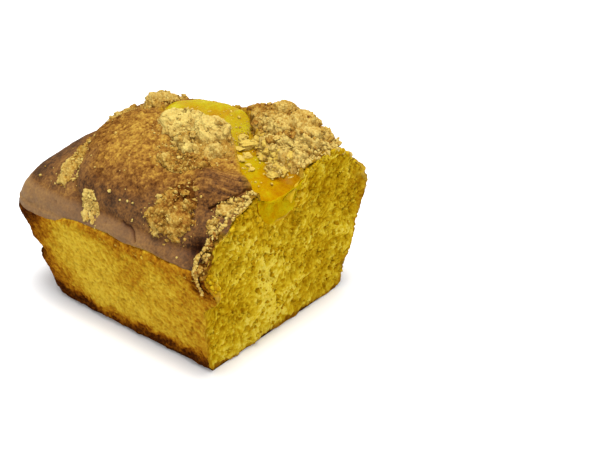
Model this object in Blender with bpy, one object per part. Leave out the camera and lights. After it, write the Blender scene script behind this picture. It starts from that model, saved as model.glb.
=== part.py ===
"""Lemon crumble cake: what is left of a loaf after slices were cut from it.

The loaf runs along X, from its baked end at -X to the cut at +X, and stands on z = 0. The origin is under the
middle of its bounding box. Its crust split while it baked, and lemon curd fills the split down to the cut.
Heaps of crumble lie on the crust. Sizes are in millimetres, and the meshes are made in metres.
"""

import math

import bmesh
import bpy
import numpy as np

MM = 0.001

# Sponge
RIM_LENGTH = 121.0
RIM_WIDTH = 112.0
RIM_HEIGHT = 53.0
BASE_WIDTH = 90.0
END_X = -64.8
CUT_X = END_X + RIM_LENGTH + 2.8
CORNER_RADIUS = 17.0
END_LEAN = 9.5
END_LIP = 2.5
LIP_HEIGHT = 45.0
FOOT_ROUNDING = 1.5
FOOT_HEIGHT = 4.0
CUT_LEAN = 7.0
WALL_RELIEF = 0.5
WALL_GRAIN = 8.0

# Notch in the near corner of the baked end, at half height
NOTCH_DEPTH = 6.0
NOTCH_REACH = 3.5
NOTCH_FROM_Y = -25.0
NOTCH_TO_Y = -40.0

# Flap of sponge at the near edge of the cut, and the torn crust over it
FLAP_DEPTH = 7.5
FLAP_Y = -53.0
FLAP_Z = 46.0
FLAP_REACH = 7.0
FLAKE_DEPTH = 2.5
FLAKE_Y = -50.0
FLAKE_REACH = 9.0
FLAKE_TOP = 72.0

# Crust
DOME_RISE = 34.5
DOME_FALL = 7.0
FALL_LENGTH = 60.0
END_SLOPE = 51.0
RIDGE_RISE = 10.5
RIDGE_X = 36.0
RIDGE_Y = 27.0
RIDGE_HALF_LENGTH = 32.0
RIDGE_HALF_WIDTH = 11.0
CRUST_RELIEF = 1.1
CRUST_GRAIN = 10.0
CRUMB_RELIEF = 1.5
CRUMB_GRAIN = 6.0
CRUST_CRUMBS = 24

# Lemon curd in the split. Lengths along it are measured back from its mouth at the cut
CURD_END_X = -21.0
MOUTH_X = CUT_X - 3.0
MOUTH_Y = -9.0
MOUTH_LENGTH = 25.0
MOUTH_WIDENING = 6.0
NECK_HALF_WIDTH = 6.5
SWING = 27.0
SWING_LENGTH = 50.0
RETURN = 8.0
RETURN_FROM = 55.0
RETURN_TO = 85.0
POOL_WIDENING = 8.0
POOL_FROM = 42.0
POOL_TO = 68.0
POOL_ROUNDING = 14.0
SPLIT_MARGIN = 0.8
SPLIT_DEPTH_END = 2.5
SPLIT_DEPTH_CUT = 17.0
SPLIT_LENGTH = 42.0
CURD_THICKNESS_MIN = 0.6
CURD_CRUMBS = 10

# Clearance between pieces that touch
GAP = 0.5

# Mesh fineness
TOP_COLUMNS = 29
WALL_ROWS = 13
STATIONS = 25
CORNER_POINTS = 5
RIBBON_ROWS = 22
RIBBON_COLUMNS = 9
LATTICE = 32
LARGE_HEAP = 15.0


def step(value, low, high):
    """S-shaped step, 0 at low and 1 at high."""
    t = np.clip((value - low) / (high - low), 0.0, 1.0)
    return t * t * (3.0 - 2.0 * t)


def bell(value):
    """1 at zero, falling away evenly on both sides."""
    return np.exp(-value * value)


def grain(x, y, z, size, seed):
    """Smooth bumps from -1 to 1, about size across.

    Random values stand on a cubic lattice and are joined by S-shaped steps.
    """
    table = np.random.default_rng(seed).uniform(-1.0, 1.0, (LATTICE, LATTICE, LATTICE))
    x, y, z = np.broadcast_arrays(x / size, y / size, z / size)
    corner = [np.floor(c).astype(int) for c in (x, y, z)]
    share = [step(c - np.floor(c), 0.0, 1.0) for c in (x, y, z)]
    total = np.zeros(x.shape)
    for offset in np.ndindex(2, 2, 2):
        weight = np.ones(x.shape)
        for axis in range(3):
            weight = weight * (share[axis] if offset[axis] else 1.0 - share[axis])
        i, j, k = ((corner[axis] + offset[axis]) % LATTICE for axis in range(3))
        total += weight * table[i, j, k]
    return total


def corner_inset(distance):
    """How far a rounded corner lies inside the straight side, this far from the baked end."""
    inside = np.clip(CORNER_RADIUS - distance, 0.0, CORNER_RADIUS)
    return CORNER_RADIUS - np.sqrt(CORNER_RADIUS**2 - inside**2)


def side_half_width(z):
    """Half the width at height z: leaning sides, rounded in at the foot."""
    straight = BASE_WIDTH / 2 + (RIM_WIDTH - BASE_WIDTH) / 2 * np.clip(z / RIM_HEIGHT, 0.0, 1.0)
    return straight - FOOT_ROUNDING * (1.0 - step(z, 0.0, FOOT_HEIGHT))


def baked_end_x(y, z):
    """X of the baked end: a wall leaning in to its foot, the crust's lip and a notch at the near corner."""
    lean = END_LEAN * np.clip(1.0 - z / LIP_HEIGHT, 0.0, 1.0) ** 1.3
    lip = END_LIP * bell((z - LIP_HEIGHT) / 5.0)
    notch = NOTCH_DEPTH * bell((z - RIM_HEIGHT / 2) / NOTCH_REACH) * step(-y, -NOTCH_FROM_Y, -NOTCH_TO_Y)
    return END_X + lean - lip + notch


def cut_end_x(y, z):
    """X of the cut: a knife stroke that leans out upwards, with a flap left near the rim on the near side."""
    flap = FLAP_DEPTH * bell((y - FLAP_Y) / FLAP_REACH) * bell((z - FLAP_Z) / FLAP_REACH)
    return CUT_X + CUT_LEAN * (z / RIM_HEIGHT - 1.0) + flap


def rim_half_width(x):
    """Half the width of the rim, with the corners of the baked end rounded."""
    return RIM_WIDTH / 2 - corner_inset(x - END_X)


def split_line(x):
    """Y of the middle of the split, which swings to the far side and part of the way back."""
    back = MOUTH_X - x
    return MOUTH_Y + SWING * step(back, 0.0, SWING_LENGTH) - RETURN * step(back, RETURN_FROM, RETURN_TO)


def curd_half_width(x):
    """Half the width of the curd: a pool on the crest, a neck and a wider mouth at the cut."""
    back = MOUTH_X - x
    mouth = MOUTH_WIDENING * (1.0 - step(back, -5.0, MOUTH_LENGTH))
    return NECK_HALF_WIDTH + mouth + POOL_WIDENING * step(back, POOL_FROM, POOL_TO)


def split_depth(x):
    """Depth of the split under the dome, most at the cut and little past the neck."""
    toward_cut = np.clip(1.0 - (MOUTH_X - x) / SPLIT_LENGTH, 0.0, 1.0) ** 0.8
    return SPLIT_DEPTH_END + (SPLIT_DEPTH_CUT - SPLIT_DEPTH_END) * toward_cut


def crust_height(x, y):
    """Height of the crust, as if it had not split: a dome over the rim, and a ridge beyond the split."""
    run = np.clip((x - END_X) / END_SLOPE, 0.0, 1.0)
    along = (1.0 - (1.0 - run) ** 1.7) ** 0.66
    side = np.clip(np.abs(y) / rim_half_width(x), 0.0, 1.0)
    across = (1.0 - side**2.7) ** 0.74
    rise = DOME_RISE - DOME_FALL * np.clip(1.0 - (CUT_X - x) / FALL_LENGTH, 0.0, 1.0)
    ridge = RIDGE_RISE * bell((y - RIDGE_Y) / RIDGE_HALF_WIDTH) * bell((x - RIDGE_X) / RIDGE_HALF_LENGTH)
    relief = CRUST_RELIEF * grain(x, y, 0.0 * x, CRUST_GRAIN, 3) * along * across
    return RIM_HEIGHT + rise * across * along + ridge + relief


def over_crust(x, y, lift):
    """Points a given lift over the crust, measured square to it."""
    reach = 0.5
    slope_x = (crust_height(x + reach, y) - crust_height(x - reach, y)) / (2 * reach)
    slope_y = (crust_height(x, y + reach) - crust_height(x, y - reach)) / (2 * reach)
    scale = lift / np.sqrt(slope_x**2 + slope_y**2 + 1.0)
    return np.stack([x - slope_x * scale, y - slope_y * scale, crust_height(x, y) + scale], axis=-1)


def material(name, colour, roughness):
    """A plain finish for one kind of food."""
    finish = bpy.data.materials.new(name)
    finish.use_nodes = True
    shader = finish.node_tree.nodes["Principled BSDF"]
    shader.inputs["Base Color"].default_value = (*colour, 1.0)
    shader.inputs["Roughness"].default_value = roughness
    return finish


def add_mesh(name, points, faces, finishes, smooth_angle=50.0):
    """One object from points in millimetres and faces, with every face turned outwards."""
    mesh = bpy.data.meshes.new(name)
    mesh.from_pydata((np.asarray(points) * MM).tolist(), [], [tuple(map(int, face)) for face in faces])
    shape = bmesh.new()
    shape.from_mesh(mesh)
    bmesh.ops.remove_doubles(shape, verts=shape.verts, dist=0.002 * MM)
    bmesh.ops.recalc_face_normals(shape, faces=shape.faces)
    shape.to_mesh(mesh)
    shape.free()
    mesh.shade_smooth()
    mesh.set_sharp_from_angle(angle=math.radians(smooth_angle))
    for finish in finishes:
        mesh.materials.append(finish)
    thing = bpy.data.objects.new(name, mesh)
    bpy.context.scene.collection.objects.link(thing)
    return thing


def grid_faces(rows, columns, start=0, closed=False):
    """Quads between rows of points that were listed row by row."""
    count = columns if closed else columns - 1
    row, column = np.meshgrid(np.arange(rows - 1), np.arange(count), indexing="ij")
    here = start + row * columns + column
    beside = start + row * columns + (column + 1) % columns
    return np.stack([here, beside, beside + columns, here + columns], axis=-1).reshape(-1, 4).tolist()


def lump(name, centre, radius, seed):
    """One uneven crumb: a 20-sided ball whose points are pulled in and out."""
    shape = bmesh.new()
    bmesh.ops.create_icosphere(shape, subdivisions=1, radius=1.0)
    draw = np.random.default_rng(seed)
    spread = draw.uniform(0.75, 1.0, len(shape.verts))
    stretch = draw.uniform(0.8, 1.25, 3)
    turn = draw.uniform(0.0, math.tau)
    for vertex, pull in zip(shape.verts, spread):
        x, y, z = vertex.co * pull * radius
        x, y, z = x * stretch[0], y * stretch[1], z * min(stretch[2], 1.0)
        vertex.co = (
            (centre[0] + x * math.cos(turn) - y * math.sin(turn)) * MM,
            (centre[1] + x * math.sin(turn) + y * math.cos(turn)) * MM,
            (centre[2] + z) * MM,
        )
    mesh = bpy.data.meshes.new(name)
    shape.to_mesh(mesh)
    shape.free()
    return bpy.data.objects.new(name, mesh)


def split_faces(mesh):
    """Split every face of a mesh into triangles."""
    shape = bmesh.new()
    shape.from_mesh(mesh)
    bmesh.ops.triangulate(shape, faces=shape.faces)
    shape.to_mesh(mesh)
    shape.free()


def apply_modifiers(thing):
    """Replace an object's mesh by what its modifiers make of it."""
    evaluated = thing.evaluated_get(bpy.context.evaluated_depsgraph_get())
    finished = bpy.data.meshes.new_from_object(evaluated)
    thing.modifiers.clear()
    thing.data = finished
    split_faces(finished)


def fuse(core, lumps):
    """Join lumps to their core in one union, and drop any scrap that came loose."""
    split_faces(core.data)
    group = bpy.data.collections.new(core.name + "_lumps")
    bpy.context.scene.collection.children.link(group)
    for piece in lumps:
        group.objects.link(piece)
    union = core.modifiers.new("union", "BOOLEAN")
    union.operation = "UNION"
    union.solver = "EXACT"
    union.operand_type = "COLLECTION"
    union.collection = group
    apply_modifiers(core)
    for piece in lumps:
        bpy.data.objects.remove(piece)
    bpy.data.collections.remove(group)
    drop_scraps(core.data)


def drop_scraps(mesh):
    """Keep only the largest connected body of a mesh."""
    shape = bmesh.new()
    shape.from_mesh(mesh)
    unseen = set(shape.verts)
    bodies = []
    while unseen:
        body, edge = set(), [next(iter(unseen))]
        while edge:
            vertex = edge.pop()
            if vertex in body:
                continue
            body.add(vertex)
            edge.extend(link.other_vert(vertex) for link in vertex.link_edges)
        bodies.append(body)
        unseen -= body
    largest = max(bodies, key=len)
    loose = [vertex for body in bodies if body is not largest for vertex in body]
    bmesh.ops.delete(shape, geom=loose, context="VERTS")
    shape.to_mesh(mesh)
    shape.free()


def loaf_point(share, across, rise):
    """A point of the loaf's skin.

    share runs from the baked end to the cut, across from the near side (-1) to the far side, and rise from
    the base to the crust. One of the three is at its limit: each wall leans by its own rule, and the crust is
    domed.
    """
    inset = corner_inset(share * RIM_LENGTH)
    wall_z = RIM_HEIGHT * rise
    y = across * (side_half_width(wall_z) - inset)
    top = crust_height(END_X + share * (CUT_X - END_X), across * (RIM_WIDTH / 2 - inset))
    z = rise * np.where(np.abs(across) < 1.0, top, RIM_HEIGHT)
    first, last = baked_end_x(y, z), cut_end_x(y, z)
    x = first + share * (last - first)
    on_crust = (rise == 1.0) & (np.abs(across) < 1.0)
    z = np.where(on_crust, crust_height(x, y), z)
    bumps = WALL_RELIEF * grain(x, y, z, WALL_GRAIN, 11)
    on_wall = (np.abs(across) == 1.0) & (rise < 1.0) & (share > 0.0)
    y = y + np.sign(across) * bumps * on_wall
    crumbs = CRUMB_RELIEF * grain(0.0 * x, y, z, CRUMB_GRAIN, 6) * (share == 1.0)
    x = x + crumbs + bumps * (share == 0.0)
    return np.stack([x, y, z], axis=-1)


def crust_flake(points):
    """Push out the torn edge of crust that hangs over the near side of the cut."""
    y, z = points[..., 1], points[..., 2]
    above_rim = step(z, RIM_HEIGHT - 1.0, RIM_HEIGHT + 3.0)
    below_top = 1.0 - step(z, FLAKE_TOP - 6.0, FLAKE_TOP)
    return FLAKE_DEPTH * bell((y - FLAKE_Y) / FLAKE_REACH) * above_rim * below_top


def make_loaf(finishes):
    """The sponge: six gridded sides welded along their shared edges, the base being one flat face."""
    quarter = np.linspace(0.0, math.pi / 2, CORNER_POINTS)
    corner = (1.0 - np.cos(quarter)) * CORNER_RADIUS / RIM_LENGTH
    shares = np.concatenate([corner, np.linspace(corner[-1], 1.0, STATIONS)[1:]])
    even = np.linspace(-1.0, 1.0, TOP_COLUMNS)
    columns = np.clip(0.6 * even + 0.4 * np.sin(even * math.pi / 2), -1.0, 1.0)
    rises = np.linspace(0.0, 1.0, WALL_ROWS)
    length, width = np.meshgrid(shares, columns, indexing="ij")
    crust = loaf_point(length, width, np.ones_like(length))
    length, height = np.meshgrid(shares, rises, indexing="ij")
    near = loaf_point(length, -np.ones_like(length), height)
    far = loaf_point(length, np.ones_like(length), height)
    width, height = np.meshgrid(columns, rises, indexing="ij")
    baked = loaf_point(np.zeros_like(width), width, height)
    cut = loaf_point(np.ones_like(width), width, height)
    for side in (crust, near, far, cut):
        edge = side[:, -1:] if side is cut else side[-1:]
        edge[..., 0] += crust_flake(edge)
    points, faces = [], []
    for side in (crust, near, far, baked, cut):
        faces += grid_faces(*side.shape[:2], start=sum(map(len, points)))
        points.append(side.reshape(-1, 3))
    starts = np.cumsum([0] + [len(part) for part in points])
    rows, wide = len(rises), len(columns)
    near_foot = starts[1] + rows * np.arange(len(shares))
    far_foot = starts[2] + rows * np.arange(len(shares))
    baked_foot = starts[3] + rows * np.arange(wide)
    cut_foot = starts[4] + rows * np.arange(wide)
    base = np.concatenate([near_foot, cut_foot[1:], far_foot[::-1][1:], baked_foot[::-1][1:-1]])
    faces.append(tuple(base))
    loaf = add_mesh("loaf", np.concatenate(points), faces, finishes)
    for face in loaf.data.polygons:
        if face.normal.x > 0.7:
            face.material_index = 1
        elif face.center.z > RIM_HEIGHT * MM:
            face.material_index = 2
    return loaf


def ribbon(name, start_x, end_x, margin, lift, top, finishes):
    """A closed ribbon along the split, U-shaped below: wider than the curd by margin, its underside raised.

    top gives the height of the upper side, from the plan point, the depth of the split and the place across.
    """
    rows, columns = RIBBON_ROWS, RIBBON_COLUMNS
    run = np.linspace(0.0, 1.0, rows)[:, None]
    across = np.sin(np.linspace(-math.pi / 2, math.pi / 2, columns))[None, :]
    x = start_x + (end_x - start_x) * run + 0.0 * across
    rounding = np.sqrt(1.0 - np.clip(1.0 - (x - start_x) / POOL_ROUNDING, 0.0, 0.92) ** 2)
    y = split_line(x) + (curd_half_width(x) * rounding + margin) * across
    depth = split_depth(x) * rounding
    under = split_floor(x, y, depth, across) + lift
    over = np.maximum(top(x, y, depth, across), under + CURD_THICKNESS_MIN)
    points = np.concatenate([np.stack([x, y, z], axis=-1).reshape(-1, 3) for z in (under, over)])
    count = rows * columns
    faces = grid_faces(rows, columns) + grid_faces(rows, columns, start=count)
    rim = [i * columns for i in range(rows)]
    rim += [(rows - 1) * columns + j for j in range(1, columns)]
    rim += [i * columns + columns - 1 for i in range(rows - 2, -1, -1)]
    rim += list(range(columns - 2, 0, -1))
    for near, far in zip(rim, rim[1:] + rim[:1]):
        faces.append((near, far, far + count, near + count))
    return add_mesh(name, points, faces, finishes)


def split_floor(x, y, depth, across):
    """Height of the split's floor: a trough whose sides stay steep up to the crust."""
    return crust_height(x, y) - depth * (1.0 - 0.75 * np.abs(across) ** 2.6)


def cut_split(loaf):
    """Open the split in the crust, wider than the curd by its clearance."""
    cutter = ribbon("split", CURD_END_X - SPLIT_MARGIN, CUT_X + 14.0, SPLIT_MARGIN, 0.0, lambda *_: 120.0, [])
    opening = loaf.modifiers.new("split", "BOOLEAN")
    opening.operation = "DIFFERENCE"
    opening.solver = "EXACT"
    opening.object = cutter
    apply_modifiers(loaf)
    bpy.data.objects.remove(cutter)


def curd_top(x, y, depth, across):
    """Height of the curd: level with the crust where it pools, sunk below it where the split is deep."""
    sink = (0.36 * depth - 1.7) * (1.0 - across**4) + 0.2
    return crust_height(x, y) - sink + 0.7 * grain(x, y, 0.0 * x, 7.0, 21)


def make_curd(finish):
    """The ribbon of curd in the split, with crumbs sunk in it, running through to the cut."""
    curd = ribbon("lemon_curd", CURD_END_X, CUT_X + 1.0, 0.0, GAP, curd_top, [finish])
    draw = np.random.default_rng(31)
    lumps = []
    for index in range(CURD_CRUMBS):
        x = draw.uniform(CURD_END_X + 26.0, CUT_X - 6.0)
        across = draw.uniform(-0.1, 0.7)
        y = split_line(x) + curd_half_width(x) * across
        radius = draw.uniform(2.0, 3.0)
        top = curd_top(x, y, split_depth(x), across)
        lumps.append(lump(f"curd_crumb_{index}", (x, y, top + radius * 0.4), radius, 300 + index))
    fuse(curd, lumps)
    return curd


# Heaps of crumble: middle, half length, half width, turn in degrees, thickness, number of lumps
HEAPS = {
    "crumble_ridge": ((38.0, 27.0), 26.0, 15.5, -20.0, 3.6, 20),
    "crumble_middle": ((12.0, -8.5), 17.5, 12.5, -10.0, 3.6, 14),
    "crumble_inner": ((29.0, -23.5), 9.5, 5.0, -20.0, 2.6, 6),
    "crumble_shoulder": ((34.0, -43.5), 14.0, 7.5, 6.0, 3.0, 10),
    "crumble_cut_edge": ((56.5, -36.0), 11.0, 3.8, 86.0, 2.4, 5),
    "crumble_rim": ((-10.0, -51.0), 8.0, 3.2, -12.0, 1.6, 3),
    "crumble_end": ((-30.0, -40.0), 13.0, 5.0, 101.0, 2.4, 5),
    "crumble_crest": ((-29.0, 7.0), 8.5, 7.0, 30.0, 5.5, 5),
    "crumble_back": ((-40.0, 31.0), 12.0, 7.5, 35.0, 2.8, 6),
    "crumble_far_side": ((-4.0, 46.5), 13.0, 4.6, 3.0, 2.2, 4),
}


def heap_outline(angle, seed):
    """Reach of a heap's outline at an angle, as a share of its ellipse: three waves with random starts."""
    starts = np.random.default_rng(seed).uniform(0.0, math.tau, 3)
    waves = 0.10 * np.sin(2 * angle + starts[0]) + 0.08 * np.sin(3 * angle + starts[1])
    return 0.92 + waves + 0.05 * np.sin(5 * angle + starts[2])


def heap_place(spec, share, angle, seed):
    """Plan point of a heap, given as a share of the way from its middle to its outline."""
    (middle_x, middle_y), half_length, half_width, turn = spec[:4]
    reach = share * heap_outline(angle, seed)
    u, v = half_length * reach * np.cos(angle), half_width * reach * np.sin(angle)
    turn = math.radians(turn)
    x = middle_x + u * math.cos(turn) - v * math.sin(turn)
    y = middle_y + u * math.sin(turn) + v * math.cos(turn)
    return x, y


def make_heap(name, spec, seed, finish):
    """A low pad that follows the crust, with its lumps fused on."""
    half_length, thickness, lump_count = spec[1], spec[4], spec[5]
    large = half_length > LARGE_HEAP
    columns = 24 if large else 16
    angle = np.arange(columns)[None, :] * math.tau / columns
    points, faces, edges = [], [], []
    for rings, height in ((4 if large else 2, 0.0), (5 if large else 4, thickness)):
        share = np.linspace(0.0, 1.0, rings + 1)[1:, None]
        x, y = heap_place(spec, share, angle, seed)
        bumps = 0.75 + 0.45 * grain(x, y, 0.0 * x, 3.5, seed)
        pad = (height > 0.0) * 0.8 + height * np.sqrt(1.0 - share**2) * bumps
        start = sum(map(len, points))
        faces += grid_faces(rings, columns, start=start, closed=True)
        middle = start + rings * columns
        faces += [(start + i, start + (i + 1) % columns, middle) for i in range(columns)]
        edges.append(range(middle - columns, middle))
        points.append(over_crust(x, y, GAP + pad).reshape(-1, 3))
        points.append(over_crust(*np.array(spec[0]).reshape(2, 1), GAP + height))
    under, over = edges
    for i in range(columns):
        j = (i + 1) % columns
        faces.append((under[i], under[j], over[j], over[i]))
    heap = add_mesh(name, np.concatenate(points), faces, [finish])
    draw = np.random.default_rng(seed + 1)
    lumps = []
    for index in range(lump_count):
        share, angle = math.sqrt(draw.uniform(0.0, 0.8)), draw.uniform(0.0, math.tau)
        lump_x, lump_y = heap_place(spec, share, angle, seed)
        radius = draw.uniform(0.5, 0.85) * min(thickness, 3.6) + 0.4
        lift = GAP + 0.3 + max(radius * 1.2, thickness * 0.75)
        centre = over_crust(np.array([lump_x]), np.array([lump_y]), lift)[0]
        lumps.append(lump(f"{name}_{index}", centre, radius, seed * 100 + index))
    fuse(heap, lumps)
    return heap


def is_clear(x, y, margin):
    """Whether a plan point keeps this margin to the curd, to every heap and to the cut."""
    if x > CURD_END_X - margin and abs(y - split_line(x)) < curd_half_width(x) + SPLIT_MARGIN + margin:
        return False
    for (middle_x, middle_y), half_length, half_width, turn, *_ in HEAPS.values():
        turn = math.radians(turn)
        u = (x - middle_x) * math.cos(turn) + (y - middle_y) * math.sin(turn)
        v = -(x - middle_x) * math.sin(turn) + (y - middle_y) * math.cos(turn)
        if (u / (1.15 * half_length + margin)) ** 2 + (v / (1.15 * half_width + margin)) ** 2 < 1.0:
            return False
    return x < CUT_X - 6.0


def crust_crumbs(count):
    """Small crumbs that lie loose on the bare crust, half sunk in it."""
    draw = np.random.default_rng(77)
    crumbs = []
    while len(crumbs) < count:
        x = draw.uniform(END_X + 16.0, CUT_X - 6.0)
        y = draw.uniform(-0.88, 0.88) * rim_half_width(x)
        radius = draw.uniform(1.0, 1.8)
        if is_clear(x, y, radius + 1.5):
            centre = over_crust(np.array([x]), np.array([y]), radius * 0.35)[0]
            crumbs.append(lump(f"crumb_{len(crumbs)}", centre, radius, 700 + len(crumbs)))
    return crumbs


def centre_on_origin():
    """Move all meshes so that the origin lies under the middle of their common bounding box."""
    meshes = [thing.data for thing in bpy.data.objects]
    points = np.concatenate([[vertex.co[:] for vertex in mesh.vertices] for mesh in meshes])
    middle = (points.min(axis=0) + points.max(axis=0)) / 2
    print("moved by", -middle[:2] / MM)
    for mesh in meshes:
        for vertex in mesh.vertices:
            vertex.co.x -= middle[0]
            vertex.co.y -= middle[1]


def build():
    """Clear the scene and model the cake."""
    for thing in list(bpy.data.objects):
        bpy.data.objects.remove(thing)
    golden = material("golden_side", (0.52, 0.27, 0.035), 0.75)
    crumb = material("yellow_crumb", (0.62, 0.43, 0.03), 0.85)
    crust = material("brown_crust", (0.24, 0.10, 0.03), 0.5)
    lemon = material("lemon_curd", (0.72, 0.44, 0.01), 0.2)
    streusel = material("golden_crumble", (0.62, 0.40, 0.13), 0.8)
    loaf = make_loaf([golden, crumb, crust])
    cut_split(loaf)
    fuse(loaf, crust_crumbs(CRUST_CRUMBS))
    make_curd(lemon)
    for order, (name, spec) in enumerate(HEAPS.items()):
        make_heap(name, spec, 40 + order, streusel)
    centre_on_origin()


build()
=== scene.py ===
"""Lemon crumble cake: the looks of a cut loaf cake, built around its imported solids.

The sponge, its brown crust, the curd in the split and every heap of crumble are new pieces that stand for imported
nodes. Each form is a formula worked out over a whole grid of points at once. Lengths are in millimetres until a
mesh is made. The shapes are worked out about the middle of the tin, which lies MIDDLE away from the origin.
"""

import math

import bmesh
import bpy
import numpy as np
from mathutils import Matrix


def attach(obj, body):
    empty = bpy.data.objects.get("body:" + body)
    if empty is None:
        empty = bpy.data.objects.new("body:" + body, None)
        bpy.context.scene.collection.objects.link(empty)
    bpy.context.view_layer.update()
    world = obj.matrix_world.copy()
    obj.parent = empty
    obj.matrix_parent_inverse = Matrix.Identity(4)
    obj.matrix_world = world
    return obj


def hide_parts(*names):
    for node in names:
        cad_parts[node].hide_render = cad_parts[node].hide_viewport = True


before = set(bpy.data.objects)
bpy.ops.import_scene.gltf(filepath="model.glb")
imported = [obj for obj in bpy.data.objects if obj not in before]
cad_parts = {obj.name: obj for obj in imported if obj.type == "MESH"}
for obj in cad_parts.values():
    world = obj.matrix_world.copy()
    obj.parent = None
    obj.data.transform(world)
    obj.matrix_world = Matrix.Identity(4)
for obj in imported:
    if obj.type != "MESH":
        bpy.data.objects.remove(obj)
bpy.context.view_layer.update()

MM = 0.001
# Points of a piece that are nearer to one another than this are one point
SAME_POINT = 0.00002 * MM
# How many times brighter than its own colour a level surface shows in the light of the stage
LIGHT = 1.6
MIDDLE = np.array([0.997, 0.335, 0.0])
LATTICE = 32

# Sponge
RIM_LENGTH = 121.0
RIM_WIDTH = 112.0
RIM_HEIGHT = 53.0
BASE_WIDTH = 90.0
END_X = -64.8
CUT_X = END_X + RIM_LENGTH + 2.8
CORNER_RADIUS = 17.0
END_LEAN = 9.5
END_LIP = 2.5
LIP_HEIGHT = 45.0

# Crust
DOME_RISE = 34.5
DOME_FALL = 7.0
FALL_LENGTH = 60.0
END_SLOPE = 51.0
RIDGE_RISE = 10.5
RIDGE_X = 36.0
RIDGE_Y = 27.0

# Curd, with lengths along the split measured back from its mouth at the cut
CURD_END_X = -21.0
MOUTH_X = CUT_X - 3.0
POOL_ROUNDING = 14.0

# Heaps of crumble: middle, half length, half width, turn in degrees, thickness, then how many large, middling
# and small lumps, and how browned
HEAPS = {
    "crumble_ridge": ((38.0, 27.0), 26.0, 15.5, -20.0, 3.6, 16, 170, 700, 0.56),
    "crumble_middle": ((12.0, -8.5), 17.5, 12.5, -10.0, 3.6, 9, 110, 460, -0.14),
    "crumble_inner": ((23.0, -25.0), 13.0, 5.0, -5.0, 2.2, 3, 60, 200, 0.42),
    "crumble_shoulder": ((34.0, -43.5), 14.0, 7.5, 6.0, 2.6, 9, 100, 300, 0.5),
    "crumble_cut_edge": ((56.8, -32.0), 8.0, 2.6, 62.0, 1.1, 7, 50, 120, 0.25),
    "crumble_rim": ((-9.5, -51.4), 8.0, 3.2, -12.0, 0.8, 3, 40, 120, -0.06),
    "crumble_end": ((-30.5, -40.0), 13.0, 5.0, 101.0, 1.2, 2, 50, 260, 0.2),
    "crumble_crest": ((-26.0, 10.5), 10.5, 9.0, 30.0, 3.0, 3, 60, 200, 0.1),
    "crumble_back": ((-40.0, 31.0), 12.0, 7.5, 35.0, 2.8, 5, 60, 220, 0.2),
    "crumble_far_side": ((-4.0, 46.5), 13.0, 4.6, 3.0, 1.5, 0, 30, 160, 0.1),
}

# Crumble that reaches from the ridge down to the curd and the cut
SPLIT_RUBBLE = ((52.0, 10.0), 14.0, 8.5, -14.0, 2.6, 7, 90, 280, -0.12)
EDGE_RUBBLE = ((59.5, 24.0), 14.0, 5.5, 93.0, 2.4, 6, 80, 240, -0.1)
CREST_RUBBLE = ((-34.5, -6.0), 12.5, 3.2, 106.0, 1.5, 2, 30, 160, 0.25)
SHOULDER_RUBBLE = ((54.6, -41.8), 3.8, 2.4, 100.0, 1.0, 5, 24, 80, 0.25)

# Plan outlines of the heaps that show, by the heap's seed
OUTLINES = {
    40: ((13.0, 25.0), (15.0, 19.5), (21.0, 14.0), (27.0, 10.0), (34.0, 7.0), (42.0, 5.0), (50.0, 8.0), (58.0, 12.0),
         (63.0, 19.0), (62.5, 27.0), (57.0, 32.5), (47.0, 38.5), (35.0, 41.0), (26.0, 38.0), (19.0, 33.0)),
    41: ((34.0, -11.0), (30.0, -3.0), (25.5, 3.5), (19.7, 8.0), (12.8, 8.3), (5.7, 6.4), (-2.0, 5.0), (-7.0, 0.5),
         (-8.0, -7.0), (-5.0, -14.5), (3.0, -18.5), (10.0, -20.5), (17.0, -22.5), (24.0, -21.0), (31.0, -18.0)),
    42: ((37.0, -20.0), (31.0, -18.5), (24.0, -20.0), (17.0, -22.0), (9.0, -23.0), (8.0, -28.0), (14.0, -31.0),
         (21.0, -30.0), (28.0, -27.5), (34.0, -24.5)),
    43: ((47.2, -47.9), (46.6, -43.6), (41.5, -41.0), (42.0, -36.0), (40.0, -31.0), (34.0, -30.0), (30.8, -33.0),
         (26.5, -38.0), (23.0, -44.0), (21.2, -47.6), (26.9, -50.6), (32.8, -50.7), (40.8, -50.2)),
    44: ((50.5, -36.5), (53.5, -32.0), (57.0, -28.0), (59.8, -23.5), (61.0, -25.0), (60.3, -29.5), (59.5, -34.0),
         (56.5, -37.5), (52.5, -38.5)),
    45: ((-3.0, -52.8), (-7.1, -50.4), (-11.9, -48.4), (-15.6, -48.4), (-16.0, -51.2), (-13.7, -53.2), (-7.8, -54.3),
         (-3.0, -54.4)),
    46: ((-33.0, -27.0), (-37.8, -29.0), (-36.0, -34.3), (-35.5, -38.6), (-36.0, -44.3), (-36.0, -47.8),
         (-29.3, -50.6), (-24.0, -50.3), (-22.4, -47.0), (-25.4, -42.0), (-26.8, -38.0), (-28.0, -33.0)),
    50: ((31.0, 9.0), (36.0, 5.0), (42.0, 1.5), (49.0, -2.0), (56.0, -4.0), (61.5, -2.0), (64.0, 8.0), (64.0, 16.0),
         (61.0, 23.0), (55.0, 20.0), (48.0, 17.0), (42.0, 17.0), (35.0, 15.0)),
    51: ((64.0, 12.0), (65.0, 20.0), (65.0, 27.0), (62.0, 33.0), (58.0, 33.0), (54.0, 29.0), (54.0, 20.0),
         (58.0, 12.0)),
}

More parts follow.
